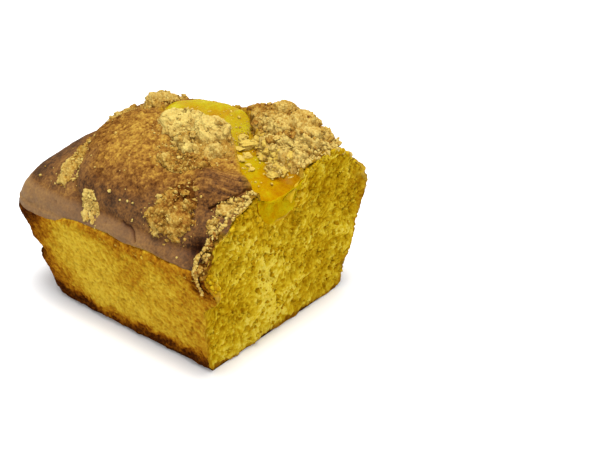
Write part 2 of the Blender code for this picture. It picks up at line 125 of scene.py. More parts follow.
# Rounded humps in some heaps, by the heap's seed: plan place, radius and height over the heap's body
HUMPS = {
    40: ((31.5, 19.5, 5.0, 3.0), (39.5, 18.5, 5.5, 4.8), (34.0, 28.0, 6.5, 3.6), (45.0, 26.0, 6.5, 4.6),
         (46.5, 14.5, 4.6, 4.2), (53.5, 20.0, 6.5, 5.2), (26.0, 30.0, 6.0, 2.0), (58.5, 16.0, 4.0, 3.6),
         (55.0, 30.0, 5.0, 4.0)),
    41: ((-2.0, -3.0, 7.5, 4.0), (4.5, -10.0, 5.5, 3.4), (18.5, -4.0, 9.0, 6.0), (4.0, 1.5, 6.0, 4.0),
         (11.0, -18.0, 3.6, 3.0), (20.5, -18.5, 4.0, 3.2), (28.5, -14.0, 4.0, 3.0), (-1.0, -14.0, 3.6, 2.6)),
    42: ((28.5, -20.5, 3.4, 2.0), (33.0, -23.5, 3.0, 1.8), (24.5, -22.5, 3.2, 1.8), (14.0, -27.0, 3.0, 1.8)),
    50: ((44.0, 12.0, 4.5, 2.4), (52.5, 14.5, 5.0, 2.8), (57.5, 8.5, 4.0, 2.4), (50.5, 7.5, 4.2, 2.2),
         (38.5, 11.0, 3.5, 1.8)),
    43: ((30.0, -42.0, 5.0, 1.6), (37.0, -45.0, 5.0, 1.8), (41.0, -40.5, 3.6, 1.6)),
    47: ((-27.5, 8.5, 7.5, 2.0), (-32.0, 3.5, 5.0, 1.4), (-24.0, 13.0, 7.5, 2.4), (-20.5, 17.0, 5.0, 1.8)),
}

# Pale crumbs on the crust: plan place and radius
SPECKS = ((-0.4, -46.4, 0.75), (6.6, -47.3, 0.5), (10.8, -46.6, 0.6), (13.6, -46.4, 0.45), (-23.9, -45.3, 0.6),
          (44.5, -53.8, 0.6), (-46.5, -47.0, 0.7), (-14.0, -41.5, 0.5), (1.5, -39.0, 0.45))


def step(value, low, high):
    """S-shaped step, 0 at low and 1 at high."""
    t = np.clip((value - low) / (high - low), 0.0, 1.0)
    return t * t * (3.0 - 2.0 * t)


def bell(value):
    """1 at zero, falling away evenly on both sides."""
    return np.exp(-value * value)


def plan(x, y):
    """Points at height 0 from two arrays."""
    return np.stack(np.broadcast_arrays(x, y, 0.0 * x), axis=-1)


def grain(points, size, seed):
    """Smooth bumps from -1 to 1: random values on a cubic lattice of this size, joined by S-shaped steps."""
    table = np.random.default_rng(seed).uniform(-1.0, 1.0, (LATTICE, LATTICE, LATTICE))
    scaled = points / size
    home = np.floor(scaled).astype(int)
    share = step(scaled - home, 0.0, 1.0)
    total = np.zeros(points.shape[:-1])
    for corner in np.ndindex(2, 2, 2):
        weight = np.prod(np.where(corner, share, 1.0 - share), axis=-1)
        i, j, k = np.moveaxis((home + corner) % LATTICE, -1, 0)
        total += weight * table[i, j, k]
    return total


def layers(points, size, seed, count=3):
    """Grain with finer grain on it: each layer has half the size and half the height of the one before."""
    return sum(grain(points, size / 2**n, seed + n) / 2**n for n in range(count)) / (2.0 - 0.5 ** (count - 1))


def cells(points, size, seed):
    """Spots strewn one to a cube of this size: distance to the nearest in cube sides, and its random number."""
    table = np.random.default_rng(seed).uniform(0.0, 1.0, (LATTICE, LATTICE, LATTICE, 4))
    scaled = points / size
    home = np.floor(scaled).astype(int)
    nearest, owner = np.full(points.shape[:-1], 9.0), np.zeros(points.shape[:-1])
    for offset in np.ndindex(3, 3, 3):
        cube = home + offset - 1
        i, j, k = np.moveaxis(cube % LATTICE, -1, 0)
        entry = table[i, j, k]
        distance = np.linalg.norm(cube + entry[..., :3] - scaled, axis=-1)
        owner = np.where(distance < nearest, entry[..., 3], owner)
        nearest = np.minimum(nearest, distance)
    return nearest, owner


def warp(points, size, amount, seed):
    """Points moved a little by grain in each direction, so that cells made from them are less even."""
    shifts = [grain(points, size, seed + n) for n in range(3)]
    return points + amount * np.stack(shifts, axis=-1)


def cobbles(points, size, seed):
    """Packed rounded crumbs from 0 in the cracks between them to 1 on their tops: one less squared distance."""
    nearest, owner = cells(points, size, seed)
    return np.clip(1.0 - (nearest / 0.85) ** 2, 0.0, 1.0) * (0.6 + 0.4 * owner)


def rubble(points, size, seed):
    """Crumbs of three sizes packed on one another, from 0 to 1, each size half of the one before."""
    moved = warp(points, size * 1.3, size * 0.28, seed)
    parts = [cobbles(moved, size / 2**n, seed + 3 + n) for n in range(3)]
    return 0.5 * parts[0] + 0.32 * parts[1] + 0.18 * parts[2], parts


def pores(points, size, seed, share, radius):
    """Round pits, 1 at the bottom and 0 outside: this share of the spots, each of this radius in cube sides."""
    nearest, owner = cells(points, size, seed)
    return np.where(owner < share, np.clip(1.0 - (nearest / radius) ** 2, 0.0, 1.0), 0.0)


def off_line(points, line):
    """Distance from a line through a few points in space."""
    line = np.asarray(line, float)
    distance = np.full(points.shape[:-1], 1e3)
    for start, end in zip(line[:-1], line[1:]):
        along = end - start
        share = np.clip((points - start) @ along / (along @ along), 0.0, 1.0)
        distance = np.minimum(distance, np.linalg.norm(points - start - share[..., None] * along, axis=-1))
    return distance


def corner_inset(distance):
    """How far a rounded corner lies inside the straight side, this far from the baked end."""
    inside = np.clip(CORNER_RADIUS - distance, 0.0, CORNER_RADIUS)
    return CORNER_RADIUS - np.sqrt(CORNER_RADIUS**2 - inside**2)


def side_half_width(z):
    """Half the width at height z: leaning sides, rounded in at the foot."""
    straight = BASE_WIDTH / 2 + (RIM_WIDTH - BASE_WIDTH) / 2 * np.clip(z / RIM_HEIGHT, 0.0, 1.0)
    return straight - 1.5 * (1.0 - step(z, 0.0, 4.0))


def baked_end_x(y, z):
    """X of the baked end: a wall leaning in to its foot, the crust's lip and a notch at the near corner."""
    lean = END_LEAN * np.clip(1.0 - z / LIP_HEIGHT, 0.0, 1.0) ** 1.3
    lip = END_LIP * bell((z - LIP_HEIGHT) / 5.0)
    notch = 6.0 * bell((z - RIM_HEIGHT / 2) / 3.5) * step(-y, 25.0, 40.0)
    return END_X + lean - lip + notch


def cut_end_x(y, z):
    """X of the cut: a knife stroke that leans out upwards, with a flap left near the rim on the near side."""
    return CUT_X + 7.0 * (z / RIM_HEIGHT - 1.0) + 7.5 * bell((y + 53.0) / 7.0) * bell((z - 46.0) / 7.0)


def cut_face_x(y, z):
    """X of the cut with the waves that the tear left."""
    return cut_end_x(y, z) + 1.5 * grain(np.stack(np.broadcast_arrays(0.0 * y, y, z), axis=-1), 6.0, 6)


def rim_half_width(x):
    """Half the width of the rim, with the corners of the baked end rounded."""
    return RIM_WIDTH / 2 - corner_inset(x - END_X)


def split_line(x):
    """Y of the middle of the split, which swings to the far side and part of the way back."""
    back = MOUTH_X - x
    return -9.0 + 27.0 * step(back, 0.0, 50.0) - 8.0 * step(back, 55.0, 85.0)


def curd_half_width(x):
    """Half the width of the curd: a pool on the crest, a neck and a wider mouth at the cut."""
    back = MOUTH_X - x
    return 6.5 + 6.0 * (1.0 - step(back, -5.0, 25.0)) + 8.0 * step(back, 42.0, 68.0)


def split_depth(x):
    """Depth of the split under the dome, most at the cut and little past the neck."""
    return 2.5 + 14.5 * np.clip(1.0 - (MOUTH_X - x) / 42.0, 0.0, 1.0) ** 0.8


def crust_height(x, y):
    """Height of the crust, as if it had not split: a dome over the rim, and a ridge beyond the split."""
    run = np.clip((x - END_X) / END_SLOPE, 0.0, 1.0)
    along = (1.0 - (1.0 - run) ** 1.7) ** 0.66
    side = np.clip(np.abs(y) / rim_half_width(x), 0.0, 1.0)
    across = (1.0 - side**2.7) ** 0.74
    rise = DOME_RISE - DOME_FALL * np.clip(1.0 - (CUT_X - x) / FALL_LENGTH, 0.0, 1.0)
    ridge = RIDGE_RISE * bell((y - RIDGE_Y) / 11.0) * bell((x - RIDGE_X) / 32.0)
    relief = 1.1 * grain(plan(x, y), 10.0, 3) * along * across
    return RIM_HEIGHT + rise * across * along + ridge + relief


def over_crust(x, y, lift):
    """Points a given lift over the crust, measured square to it."""
    slope_x = crust_height(x + 0.5, y) - crust_height(x - 0.5, y)
    slope_y = crust_height(x, y + 0.5) - crust_height(x, y - 0.5)
    scale = lift / np.sqrt(slope_x**2 + slope_y**2 + 1.0)
    return np.stack([x - slope_x * scale, y - slope_y * scale, crust_height(x, y) + scale], axis=-1)


def split_share(x, y):
    """Place across the split, -1 and 1 at the curd's edges; far beyond them past the rounded end of the pool."""
    rounding = np.sqrt(1.0 - np.clip(1.0 - (x - CURD_END_X) / POOL_ROUNDING, 0.0, 0.92) ** 2)
    return (y - split_line(x)) / (curd_half_width(x) * rounding), rounding


def trough(x, y):
    """How far the open split drops below the crust: a rounded floor with steep sides, shallow at the pool."""
    across, rounding = split_share(x, y)
    depth = split_depth(x) * rounding * step(x, CURD_END_X - 1.5, CURD_END_X + 2.0)
    return depth * (1.0 - 0.75 * np.clip(np.abs(across), 0.0, 1.0) ** 2.6) * (1.0 - step(np.abs(across), 0.92, 1.1))


def outward(points):
    """Direction out of the loaf: the slope of a rounded box round its middle."""
    share = (points - np.array([-2.0, 0.0, 44.0])) / np.array([63.0, 56.0, 46.0])
    slope = np.sign(share) * np.abs(share) ** 5
    return slope / np.linalg.norm(slope, axis=-1, keepdims=True)


def loaf_point(share, across, rise):
    """A point of the loaf's skin: share runs to the cut, across to the far side, rise up to the crust."""
    inset = corner_inset(share * RIM_LENGTH)
    y = across * (side_half_width(RIM_HEIGHT * rise) - inset)
    top = crust_height(END_X + share * (CUT_X - END_X), across * (RIM_WIDTH / 2 - inset))
    z = rise * np.where(np.abs(across) < 1.0, top, RIM_HEIGHT)
    first, last = baked_end_x(y, z), cut_end_x(y, z)
    x = first + share * (last - first)
    on_crust = (rise == 1.0) & (np.abs(across) < 1.0)
    z = np.where(on_crust, crust_height(x, y) - trough(x, y), z)
    x = np.where(on_crust, first + share * (cut_end_x(y, z) - first), x)
    here = np.stack([x, y, z], axis=-1)
    bumps = 0.5 * grain(here, 8.0, 11)
    on_wall = (np.abs(across) == 1.0) & (rise < 1.0) & (share > 0.0)
    here[..., 1] += np.sign(across) * bumps * on_wall
    here[..., 0] += (cut_face_x(y, z) - cut_end_x(y, z)) * (share == 1.0) + bumps * (share == 0.0)
    return here


def flake_push(points):
    """How far the torn edge of crust stands out over the near side of the cut."""
    y, z = points[..., 1], points[..., 2]
    return 1.0 * bell((y + 50.0) / 9.0) * step(z, 52.0, 56.0) * (1.0 - step(z, 66.0, 72.0))


class Value:
    """A shader socket that takes part in sums like a number."""

    def __init__(self, finish, socket):
        self.finish, self.socket = finish, socket

    def math(self, operation, *inputs):
        return self.finish.node("ShaderNodeMath", {"operation": operation}, dict(enumerate(inputs)))

    def __add__(self, other):
        return self.math("ADD", self, other)

    def __sub__(self, other):
        return self.math("SUBTRACT", self, other)

    def __rsub__(self, other):
        return self.math("SUBTRACT", other, self)

    def __mul__(self, other):
        return self.math("MULTIPLY", self, other)

    __radd__, __rmul__ = __add__, __mul__

    def clamp(self):
        return self.math("MINIMUM", self.math("MAXIMUM", self, 0.0), 1.0)


class Finish:
    """A material on the Principled BSDF, with its nodes written as expressions."""

    def __init__(self, name, **constants):
        self.material = bpy.data.materials.new(name)
        self.material.use_nodes = True
        self.tree = self.material.node_tree
        self.shader = self.tree.nodes["Principled BSDF"]
        for socket, value in constants.items():
            self.shader.inputs[socket.replace("_", " ")].default_value = value
        self.place = self.node("ShaderNodeTexCoord", output="Object")

    def node(self, kind, settings=None, inputs=None, output=0):
        """Any node: its settings first, then the values or links of its sockets."""
        node = self.tree.nodes.new(kind)
        for key, value in (settings or {}).items():
            if key == "stops":
                for _ in value[2:]:
                    node.color_ramp.elements.new(0.5)
                for element, (position, colour) in zip(node.color_ramp.elements, value):
                    element.position, element.color = position, (*colour, 1.0)
            else:
                setattr(node, key, value)
        for key, value in (inputs or {}).items():
            self.feed(node.inputs[key], value)
        return Value(self, node.outputs[output])

    def feed(self, socket, value):
        if isinstance(value, Value):
            self.tree.links.new(value.socket, socket)
        else:
            socket.default_value = value

    def trait(self, name):
        """A number that the mesh carries at each point."""
        return self.node("ShaderNodeAttribute", {"attribute_name": name}, output="Fac")

    def noise(self, size, detail=3.0, roughness=0.55):
        """Noise from 0 to 1 with bumps of this size in millimetres."""
        inputs = {"Vector": self.place, "Scale": 1.0 / (size * MM), "Detail": detail, "Roughness": roughness}
        return self.node("ShaderNodeTexNoise", {}, inputs)

    def voronoi(self, size):
        """Distance to the middle of the nearest cell, for cells of this size in millimetres."""
        return self.node("ShaderNodeTexVoronoi", {}, {"Vector": self.place, "Scale": 1.0 / (size * MM)})

    def ramp(self, value, *stops):
        return self.node("ShaderNodeValToRGB", {"stops": stops}, {0: value})

    def mix(self, share, first, second, blend="MIX"):
        inputs = {0: share, 6: first, 7: second}
        return self.node("ShaderNodeMix", {"data_type": "RGBA", "blend_type": blend}, inputs, output=2)

    def bump(self, height, strength, distance):
        inputs = {"Strength": strength, "Distance": distance * MM, "Height": height}
        return self.node("ShaderNodeBump", {}, inputs)

    def wear(self, colour, roughness, normal):
        """Connect what varies over the surface."""
        self.feed(self.shader.inputs["Base Color"], colour)
        self.feed(self.shader.inputs["Roughness"], roughness)
        self.feed(self.shader.inputs["Normal"], normal)
        return self.material


def shade(red, green, blue):
    """A colour as it shows on a screen from 0 to 255, as the linear values that bring it about in the stage's light."""
    return tuple(((part / 255 + 0.055) / 1.055) ** 2.4 / LIGHT for part in (red, green, blue))


def sponge_finish():
    """Golden side walls, browned at the foot, the rim and the baked end, and bright lemon crumb at the cut.

    bake picks the tone of a wall, cut tells crumb from wall, soaked stains with curd, and a trait of painted shade
    darkens pits, holes and the lower cut and paints light on the tops of the crumb.
    """
    made = Finish("golden_sponge", Subsurface_Weight=0.12, Subsurface_Scale=0.002,
                  Subsurface_Radius=(1.0, 0.55, 0.1), Specular_IOR_Level=0.0)
    mottle = made.noise(5.0, 4.0, 0.65)
    fine = made.noise(0.9, 3.0, 0.6)
    cell = made.voronoi(1.25)
    tone = made.trait("bake") + (mottle - 0.5) * 0.5 + (fine - 0.5) * 0.5 - (cell - 0.45) * 0.25
    wall = made.ramp(
        tone.clamp(),
        (0.0, shade(234, 198, 60)),
        (0.25, shade(213, 169, 40)),
        (0.5, shade(186, 126, 24)),
        (0.75, shade(138, 78, 14)),
        (1.0, shade(70, 32, 10)),
    )
    # The crumb's tone follows the painted shade too: pale as painted light on its tops, darker in its cracks.
    crumb_tone = (mottle * 0.3 + fine * 0.35 + made.trait("deep") * 0.75 - 0.2).clamp()
    crumb = made.ramp(
        crumb_tone,
        (0.0, shade(124, 84, 8)),
        (0.25, shade(172, 128, 12)),
        (0.5, shade(204, 164, 16)),
        (0.75, shade(226, 194, 40)),
        (1.0, shade(246, 224, 96)),
    )
    stained = made.mix(crumb_tone, (*shade(176, 116, 0), 1.0), (*shade(226, 178, 6), 1.0))
    crumb = made.mix((made.trait("soaked") * 0.9).clamp(), crumb, stained)
    colour = made.mix(made.trait("cut"), wall, crumb)
    # Painted shade: the colour is darkened towards this brown where the painted light trait falls below 1.
    dark = made.mix(1.0, colour, (0.5, 0.34, 0.16, 1.0), "MULTIPLY")
    colour = made.mix((1.0 - made.trait("deep")).clamp() * 0.7, colour, dark)
    relief = fine * 0.6 - cell * (0.6 - 0.6 * made.trait("cut"))
    roughness = 0.85 - made.trait("soaked") * 0.35
    return made.wear(colour, roughness, made.bump(relief, 0.6, 0.5))


def crust_finish():
    """Brown crust: satin and dark on the smooth lobes, golden and grainy above, pale sponge where it is torn.

    bake picks the tone, satin smooths it, gives the coat its gloss and mixes a painted grey sheen into the colour, a
    trait of painted shade darkens cracks, and torn bares the sponge.
    """
    made = Finish("brown_crust", Subsurface_Weight=0.04, Subsurface_Scale=0.002,
                  Subsurface_Radius=(1.0, 0.5, 0.2), Specular_IOR_Level=0.0, Coat_Roughness=0.45)
    mottle = made.noise(6.0, 5.0, 0.65)
    speckle = made.noise(1.0, 4.0, 0.7)
    rough = 1.0 - made.trait("satin")
    pit = made.voronoi(1.3)
    patch = made.noise(2.4, 3.0, 0.6)
    tone = made.trait("bake") + (mottle - 0.5) * (0.35 + 0.4 * rough) + (speckle - 0.5) * (0.50 + 0.7 * rough)
    tone = tone + (patch - 0.5) * (0.25 + 0.85 * rough) - (pit - 0.45) * 0.22
    brown = made.ramp(
        tone.clamp(),
        (0.0, shade(226, 184, 80)),
        (0.22, shade(200, 151, 62)),
        (0.45, shade(163, 113, 50)),
        (0.66, shade(130, 83, 35)),
        (0.84, shade(98, 60, 26)),
        (1.0, shade(52, 22, 4)),
    )
    # Painted sheen: a grey-brown reflection mixed into the colour where the crust is satin.
    painted_sheen = made.mix(made.trait("satin") * 0.5, brown, (*shade(152, 122, 90), 1.0))
    # The bared sponge is paler where the painted light trait is high.
    pale = mottle * 0.4 + speckle * 0.4 + made.trait("deep") * 0.3
    sponge = made.ramp(pale, (0.35, shade(172, 116, 14)), (0.75, shade(224, 184, 56)))
    colour = made.mix(made.trait("torn"), painted_sheen, sponge)
    # Painted shade: the colour is darkened towards dark brown where the painted light trait falls below 1.
    dark = made.mix(1.0, colour, (0.34, 0.17, 0.08, 1.0), "MULTIPLY")
    colour = made.mix((1.0 - made.trait("deep")).clamp() * 0.85, colour, dark)
    made.feed(made.shader.inputs["Coat Weight"], made.trait("satin") * 0.25)
    return made.wear(colour, 0.8 + (speckle - 0.5) * 0.3, made.bump(speckle + pit * 0.7 + patch, 0.6, 0.6))


def curd_finish():
    """Lemon curd: a rich translucent yellow, cloudier in places, with the crests of its waves painted lighter. bake
    turns it amber, and satin wets its top.
    """
    made = Finish("lemon_curd", Subsurface_Weight=0.3, Subsurface_Scale=0.004,
                  Subsurface_Radius=(1.0, 0.65, 0.05), Coat_Roughness=0.3, Specular_IOR_Level=0.0)
    cloud = made.noise(7.0, 3.0)
    streak = made.noise(1.6, 3.0, 0.6)
    # Painted light: the crests of the curd's waves are made paler.
    tone = cloud * 0.7 + streak * 0.3 + (made.trait("deep") - 0.5) * 0.4 - made.trait("bake") * 0.35
    colour = made.ramp(tone.clamp(), (0.1, shade(178, 112, 0)), (0.35, shade(192, 146, 0)), (0.55, shade(196, 172, 14)),
                       (0.8, shade(208, 194, 40)))
    made.feed(made.shader.inputs["Coat Weight"], made.trait("satin") * 0.18)
    return made.wear(colour, streak * 0.25 + 0.2, made.bump(streak + made.noise(0.9, 2.0) * 0.5, 0.7, 1.0))


def crumble_finish():
    """Sandy baked crumble: butter yellow to toasted brown, from each crumb's own tone, with painted shade in the cracks
    and between crumbs.

    A piece that carries the number soaked takes up the yellow of the curd.
    """
    made = Finish("golden_crumble", Subsurface_Weight=0.06, Subsurface_Scale=0.0015,
                  Subsurface_Radius=(1.0, 0.6, 0.25), Specular_IOR_Level=0.0)
    grit = made.noise(0.6, 3.0, 0.7)
    patch = made.noise(4.5, 3.0)
    crumb = made.voronoi(1.25)
    # Crumbs are darker towards the edges of their cells, as painted shade between them.
    tone = made.trait("bake") + (grit - 0.5) * 0.5 + (patch - 0.5) * 0.6 + (crumb - 0.42) * 0.45
    colour = made.ramp(
        tone.clamp(),
        (0.0, shade(244, 218, 124)),
        (0.3, shade(228, 195, 106)),
        (0.55, shade(203, 160, 70)),
        (0.8, shade(166, 112, 44)),
        (1.0, shade(106, 62, 22)),
    )
    colour = made.mix(made.trait("soaked"), colour, (*shade(226, 186, 30), 1.0))
    # Painted shade: the colour is darkened where the painted light trait falls below 1.
    dark = made.mix(1.0, colour, (0.55, 0.38, 0.18, 1.0), "MULTIPLY")
    colour = made.mix((1.0 - made.trait("deep")).clamp() * 0.8, colour, dark)
    return made.wear(colour, grit * 0.2 + 0.75, made.bump(grit * 0.6 - crumb, 0.8, 0.5))


def make_piece(name, points, faces, traits, finish, slot, *nodes):
    """One mesh from points in millimetres, arrays of faces and a number per point for each trait."""
    points = (points + MIDDLE) * MM
    corners = np.concatenate([part.ravel() for part in faces])
    sizes = np.concatenate([np.full(len(part), part.shape[1]) for part in faces])
    mesh = bpy.data.meshes.new(name)
    mesh.vertices.add(len(points))
    mesh.vertices.foreach_set("co", points.astype(np.float32).ravel())
    mesh.loops.add(len(corners))
    mesh.loops.foreach_set("vertex_index", corners.astype(np.int32))
    mesh.polygons.add(len(sizes))
    mesh.polygons.foreach_set("loop_start", (np.cumsum(sizes) - sizes).astype(np.int32))
    mesh.update(calc_edges=True)
    for trait, values in traits.items():
        store = mesh.attributes.new(trait, "FLOAT", "POINT")
        store.data.foreach_set("value", np.broadcast_to(values, len(points)).astype(np.float32))
    shape = bmesh.new()
    shape.from_mesh(mesh)
    bmesh.ops.remove_doubles(shape, verts=shape.verts, dist=SAME_POINT)
    bmesh.ops.recalc_face_normals(shape, faces=shape.faces)
    shape.to_mesh(mesh)
    shape.free()
    mesh.shade_smooth()
    mesh.materials.append(finish)
    piece = bpy.data.objects.new(name, mesh)
    bpy.context.scene.collection.objects.link(piece)
    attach(piece, "root")
    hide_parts(*nodes)
    return piece


def grid_faces(rows, columns, start=0, closed=False):
    """Quads between rows of points that were listed row by row."""
    count = columns if closed else columns - 1
    row, column = np.meshgrid(np.arange(rows - 1), np.arange(count), indexing="ij")
    here = start + row * columns + column
    beside = start + row * columns + (column + 1) % columns
    return np.stack([here, beside, beside + columns, here + columns], axis=-1).reshape(-1, 4)


def fan(ring, middle):
    """Triangles from a closed ring of point numbers to one middle point."""
    ring = np.asarray(ring)
    return np.stack([ring, np.roll(ring, -1), np.full(len(ring), middle)], axis=-1)


def loop_faces(first, second):
    """Quads between two closed rings of point numbers."""
    first, second = np.asarray(first), np.asarray(second)
    return np.stack([first, np.roll(first, -1), np.roll(second, -1), second], axis=-1)


def pulled_in(points):
    """Points moved back from the cut and in from the skin, so that what closes a piece there stays hidden."""
    return points * [1.0, 0.93, 0.94] + [-9.0, 0.0, 1.5]


def border(rows, columns):
    """Point numbers round the edge of a grid, in order."""
    top = np.arange(columns)
    right = columns - 1 + columns * np.arange(1, rows)
    bottom = (rows - 1) * columns + np.arange(columns - 2, -1, -1)
    left = columns * np.arange(rows - 2, 0, -1)
    return np.concatenate([top, right, bottom, left])


def lobe_inside(x, y):
    """How far a plan point lies inside the large lobe of the crust, whose edge slants over the near corner."""
    slanted = (x + 39.0) * 0.871 + (y + 23.0) * 0.492
    low = y + 52.4
    return -3.0 * np.logaddexp(-slanted / 3.0, -low / 3.0)


def fold_place(x, y):
    """Place along and across the wrinkled fold beside the mouth of the split, and its share of the surface."""
    turn = math.radians(17.0)
    u = (x - 46.0) * math.cos(turn) + (y + 27.0) * math.sin(turn)
    v = -(x - 46.0) * math.sin(turn) + (y + 27.0) * math.cos(turn)
    narrow = 8.6 - 4.5 * step(u, 2.0, 14.0)
    return u, v, np.exp(-((u / 13.5) ** 6) - (v / narrow) ** 4)


def flake_line_x(z):
    """X of the torn strip on the near shoulder of the cut, by height."""
    heights = [48.0, 51.5, 55.4, 58.0, 61.0, 64.0, 66.0, 68.0, 70.0, 72.0]
    return np.interp(z, heights, [60.5, 58.6, 56.2, 54.9, 54.4, 55.5, 56.1, 56.6, 57.3, 59.2])


FISSURE = [(47.0, -36.5, 74.5), (50.3, -31.9, 76.3), (52.6, -28.3, 77.4), (55.6, -24.9, 78.3), (60.0, -21.5, 79.0)]
RIM_CRACK = [(10.5, -52.3, 62.0), (12.1, -52.7, 61.2), (15.0, -52.5, 61.2), (17.8, -53.1, 60.1), (21.0, -54.3, 57.8)]
HOLLOW = (52.8, -50.2, 62.0)
PITS = [(-10.6, -42.9, 74.2, 2.2), (0.9, -48.4, 68.1, 1.5), (17.8, -48.0, 67.3, 1.4), (-3.5, -38.1, 78.4, 1.0),
        (-46.8, -49.0, 62.5, 1.6), (-37.5, -45.8, 67.8, 1.3)]


def crust_foot(x):
    """Height where the crust ends over the walls: above the rim, and below it towards the baked end."""
    return 54.8 - 6.0 * (1.0 - step(x, -38.0, -14.0))


def crust_look(points):
    """Relief of the crust over its plain form, in millimetres, with its traits.

    The near lobe swells inside its edge and is creased along it. Its lower part is smooth, and its upper part and
    the top are rough with crumbs, packed in three sizes. A fold beside the split is raised and wrinkled
    lengthwise. Cracks, pits and a hollow are bells cut into it, and the rim has a soft lip. Shade in them, in the
    creases and between the crumbs, and light on the crumbs' tops, are painted into the colour.
    """
    x, y, z = np.moveaxis(points, -1, 0)
    wander = layers(points, 14.0, 51)
    inside = lobe_inside(x, y) + 1.4 * wander
    near = 1.0 - step(y, 5.0, 30.0)
    lobe = (2.2 * step(inside, -0.5, 7.5) - 1.3 * bell(inside / 1.3) - 0.4) * near
    shoulder = 2.8 * bell((z - 63.0) / 7.0) * (1.0 - step(x, -60.0, -36.0))
    u, v, fold = fold_place(x, y)
    smooth_top = 1.0 - step(x + 8.0 * wander, -36.0, -14.0) * (1.0 - step(y, 34.0, 46.0))
    rough = step(z + 7.0 * wander - 6.0 * smooth_top, 68.0, 80.0) * (1.0 - fold)
    flaky = bell(np.hypot((x + 14.0) / 24.0, (y + 15.0) / 11.0)) + bell(np.hypot((x - 20.0) / 22.0, (y + 24.0) / 7.0))
    flaky = np.clip(flaky * (0.7 + 0.6 * grain(points, 8.0, 57)), 0.0, 1.0) * (1.0 - fold)
    packed, _ = rubble(points, 2.5, 61)
    chunks, _ = rubble(points * [1.0, 1.0, 1.5], 5.5, 75)
    bumps = rough * (1.9 * packed - 0.7 + 0.7 * layers(points, 6.0, 64)) + flaky * (4.2 * chunks - 1.5)
    skin = 0.35 * layers(warp(points, 5.0, 2.0, 58), 4.5, 65) - 0.30 * np.abs(layers(points, 3.4, 66))
    dimples = 0.45 * pores(points, 3.4, 69, 0.35, 0.24) + 0.5 * pores(points, 8.0, 70, 0.3, 0.16)
    soft = (1.0 - rough) * (0.7 * grain(points, 10.0, 56) + skin - dimples)
    flow = np.stack([u / 14.0, (v + 1.0 * wander) / 1.2, 0.0 * u], axis=-1)
    creases = 1.9 * np.abs(grain(flow, 1.0, 67)) + 1.5 * np.abs(grain(flow * [1.6, 2.1, 1.0], 1.0, 68)) - 0.95
    folded = fold * (2.9 + 0.6 * creases)
    fissure = bell(off_line(points, FISSURE) / 0.9)
    crack = bell(off_line(points, RIM_CRACK) / 0.6)
    raised = bell((off_line(points + [0.0, 0.7, -1.5], RIM_CRACK)) / 1.3)
    hollow = bell(np.linalg.norm((points - HOLLOW) * [1.0, 0.75, 0.75], axis=-1) / 5.0 + 0.25 * wander)
    pits = sum(bell(np.linalg.norm(points - spot[:3], axis=-1) / spot[3]) * spot[3] * 0.45 for spot in PITS)
    side = 1.0 - step(z + 0.8 * wander - crust_foot(x), 0.0, 1.2)
    along = step(x, -38.0, -14.0)
    lip = 0.8 * bell((z - 58.0) / 2.6) * (1.0 - side) * (0.3 + 0.7 * along) - 1.1 * side
    tip = bell((x - CUT_X) / 8.0) * bell((y - 50.0) / 9.0)
    across, _ = split_share(x, y)
    reach = 1.5 + 0.5 * (across > 0.0) + 0.3 * wander
    torn = (1.0 - step(np.abs(across), 1.1, reach)) * step(x, CURD_END_X, CURD_END_X + 4.0)
    torn = torn * (1.0 - 0.9 * fold)
    near_cut = step(x + 5.0 * wander, 46.0, 53.0) * step(y, -14.0, -4.0)
    torn = np.maximum(torn, near_cut * (1.0 - 0.6 * step(y, 36.0, 50.0)))
    shoulder_torn = step(x - flake_line_x(z), 0.2, 1.2) * (1.0 - step(y, -43.0, -41.0))
    ragged = rubble(points, 4.2, 59)[0] * (1.0 - shoulder_torn) + rubble(points, 2.1, 60)[0] * shoulder_torn
    bare = np.maximum(torn, shoulder_torn)
    bumps = bumps * (1.0 - bare) + bare * (3.4 * ragged - 1.5)
    torn = np.maximum(torn, 0.4 * shoulder_torn)
    relief = (lobe + shoulder + bumps + folded + 0.3 * raised) * (1.0 - side) + soft * (1.0 - 0.6 * side) + lip
    relief = relief + side * shoulder_torn * (3.4 * ragged - 1.3)
    relief = relief - 1.8 * bell((z - 51.5) / 5.5) * (1.0 - along)
    relief = relief + tip * (2.2 + 2.0 * layers(points, 3.5, 63)) - 1.7 * fissure - 1.2 * crack - 2.6 * hollow - pits
    sunk = (1.0 - step(np.abs(across), 0.95, 1.12)) * step(x, CURD_END_X - 1.0, CURD_END_X + 3.0)
    relief = relief * (1.0 - sunk) - 0.6 * sunk
    band = (1.0 - step(z, 60.0, 64.0)) * (1.0 - 0.6 * hollow) * (1.0 - shoulder_torn)
    satin = np.clip(1.0 - rough - 0.7 * flaky - 0.5 * fold - tip - bare - 0.8 * hollow, 0.0, 1.0)
    low = 1.0 - step(z + 5.0 * wander, 69.0, 81.0)
    dark_lobe = step(inside, -0.5, 3.0) * near * low * (0.35 + 0.65 * step(x, -38.0, -14.0))
    bake = 0.50 + 0.32 * dark_lobe + 0.03 * band - rough * (0.04 - 0.13 * step(-x, 12.0, 28.0))
    bake = bake - 0.12 * flaky + 0.20 * fold - 0.22 * tip
    # Painted shade: the crease along the lobe's edge, the hollow and the troughs of the fold's creases are darker;
    # wander varies the tone at random.
    bake = bake + 0.10 * bell(inside / 1.6) * near + 0.24 * wander + 0.30 * hollow - 0.13 * fold * creases
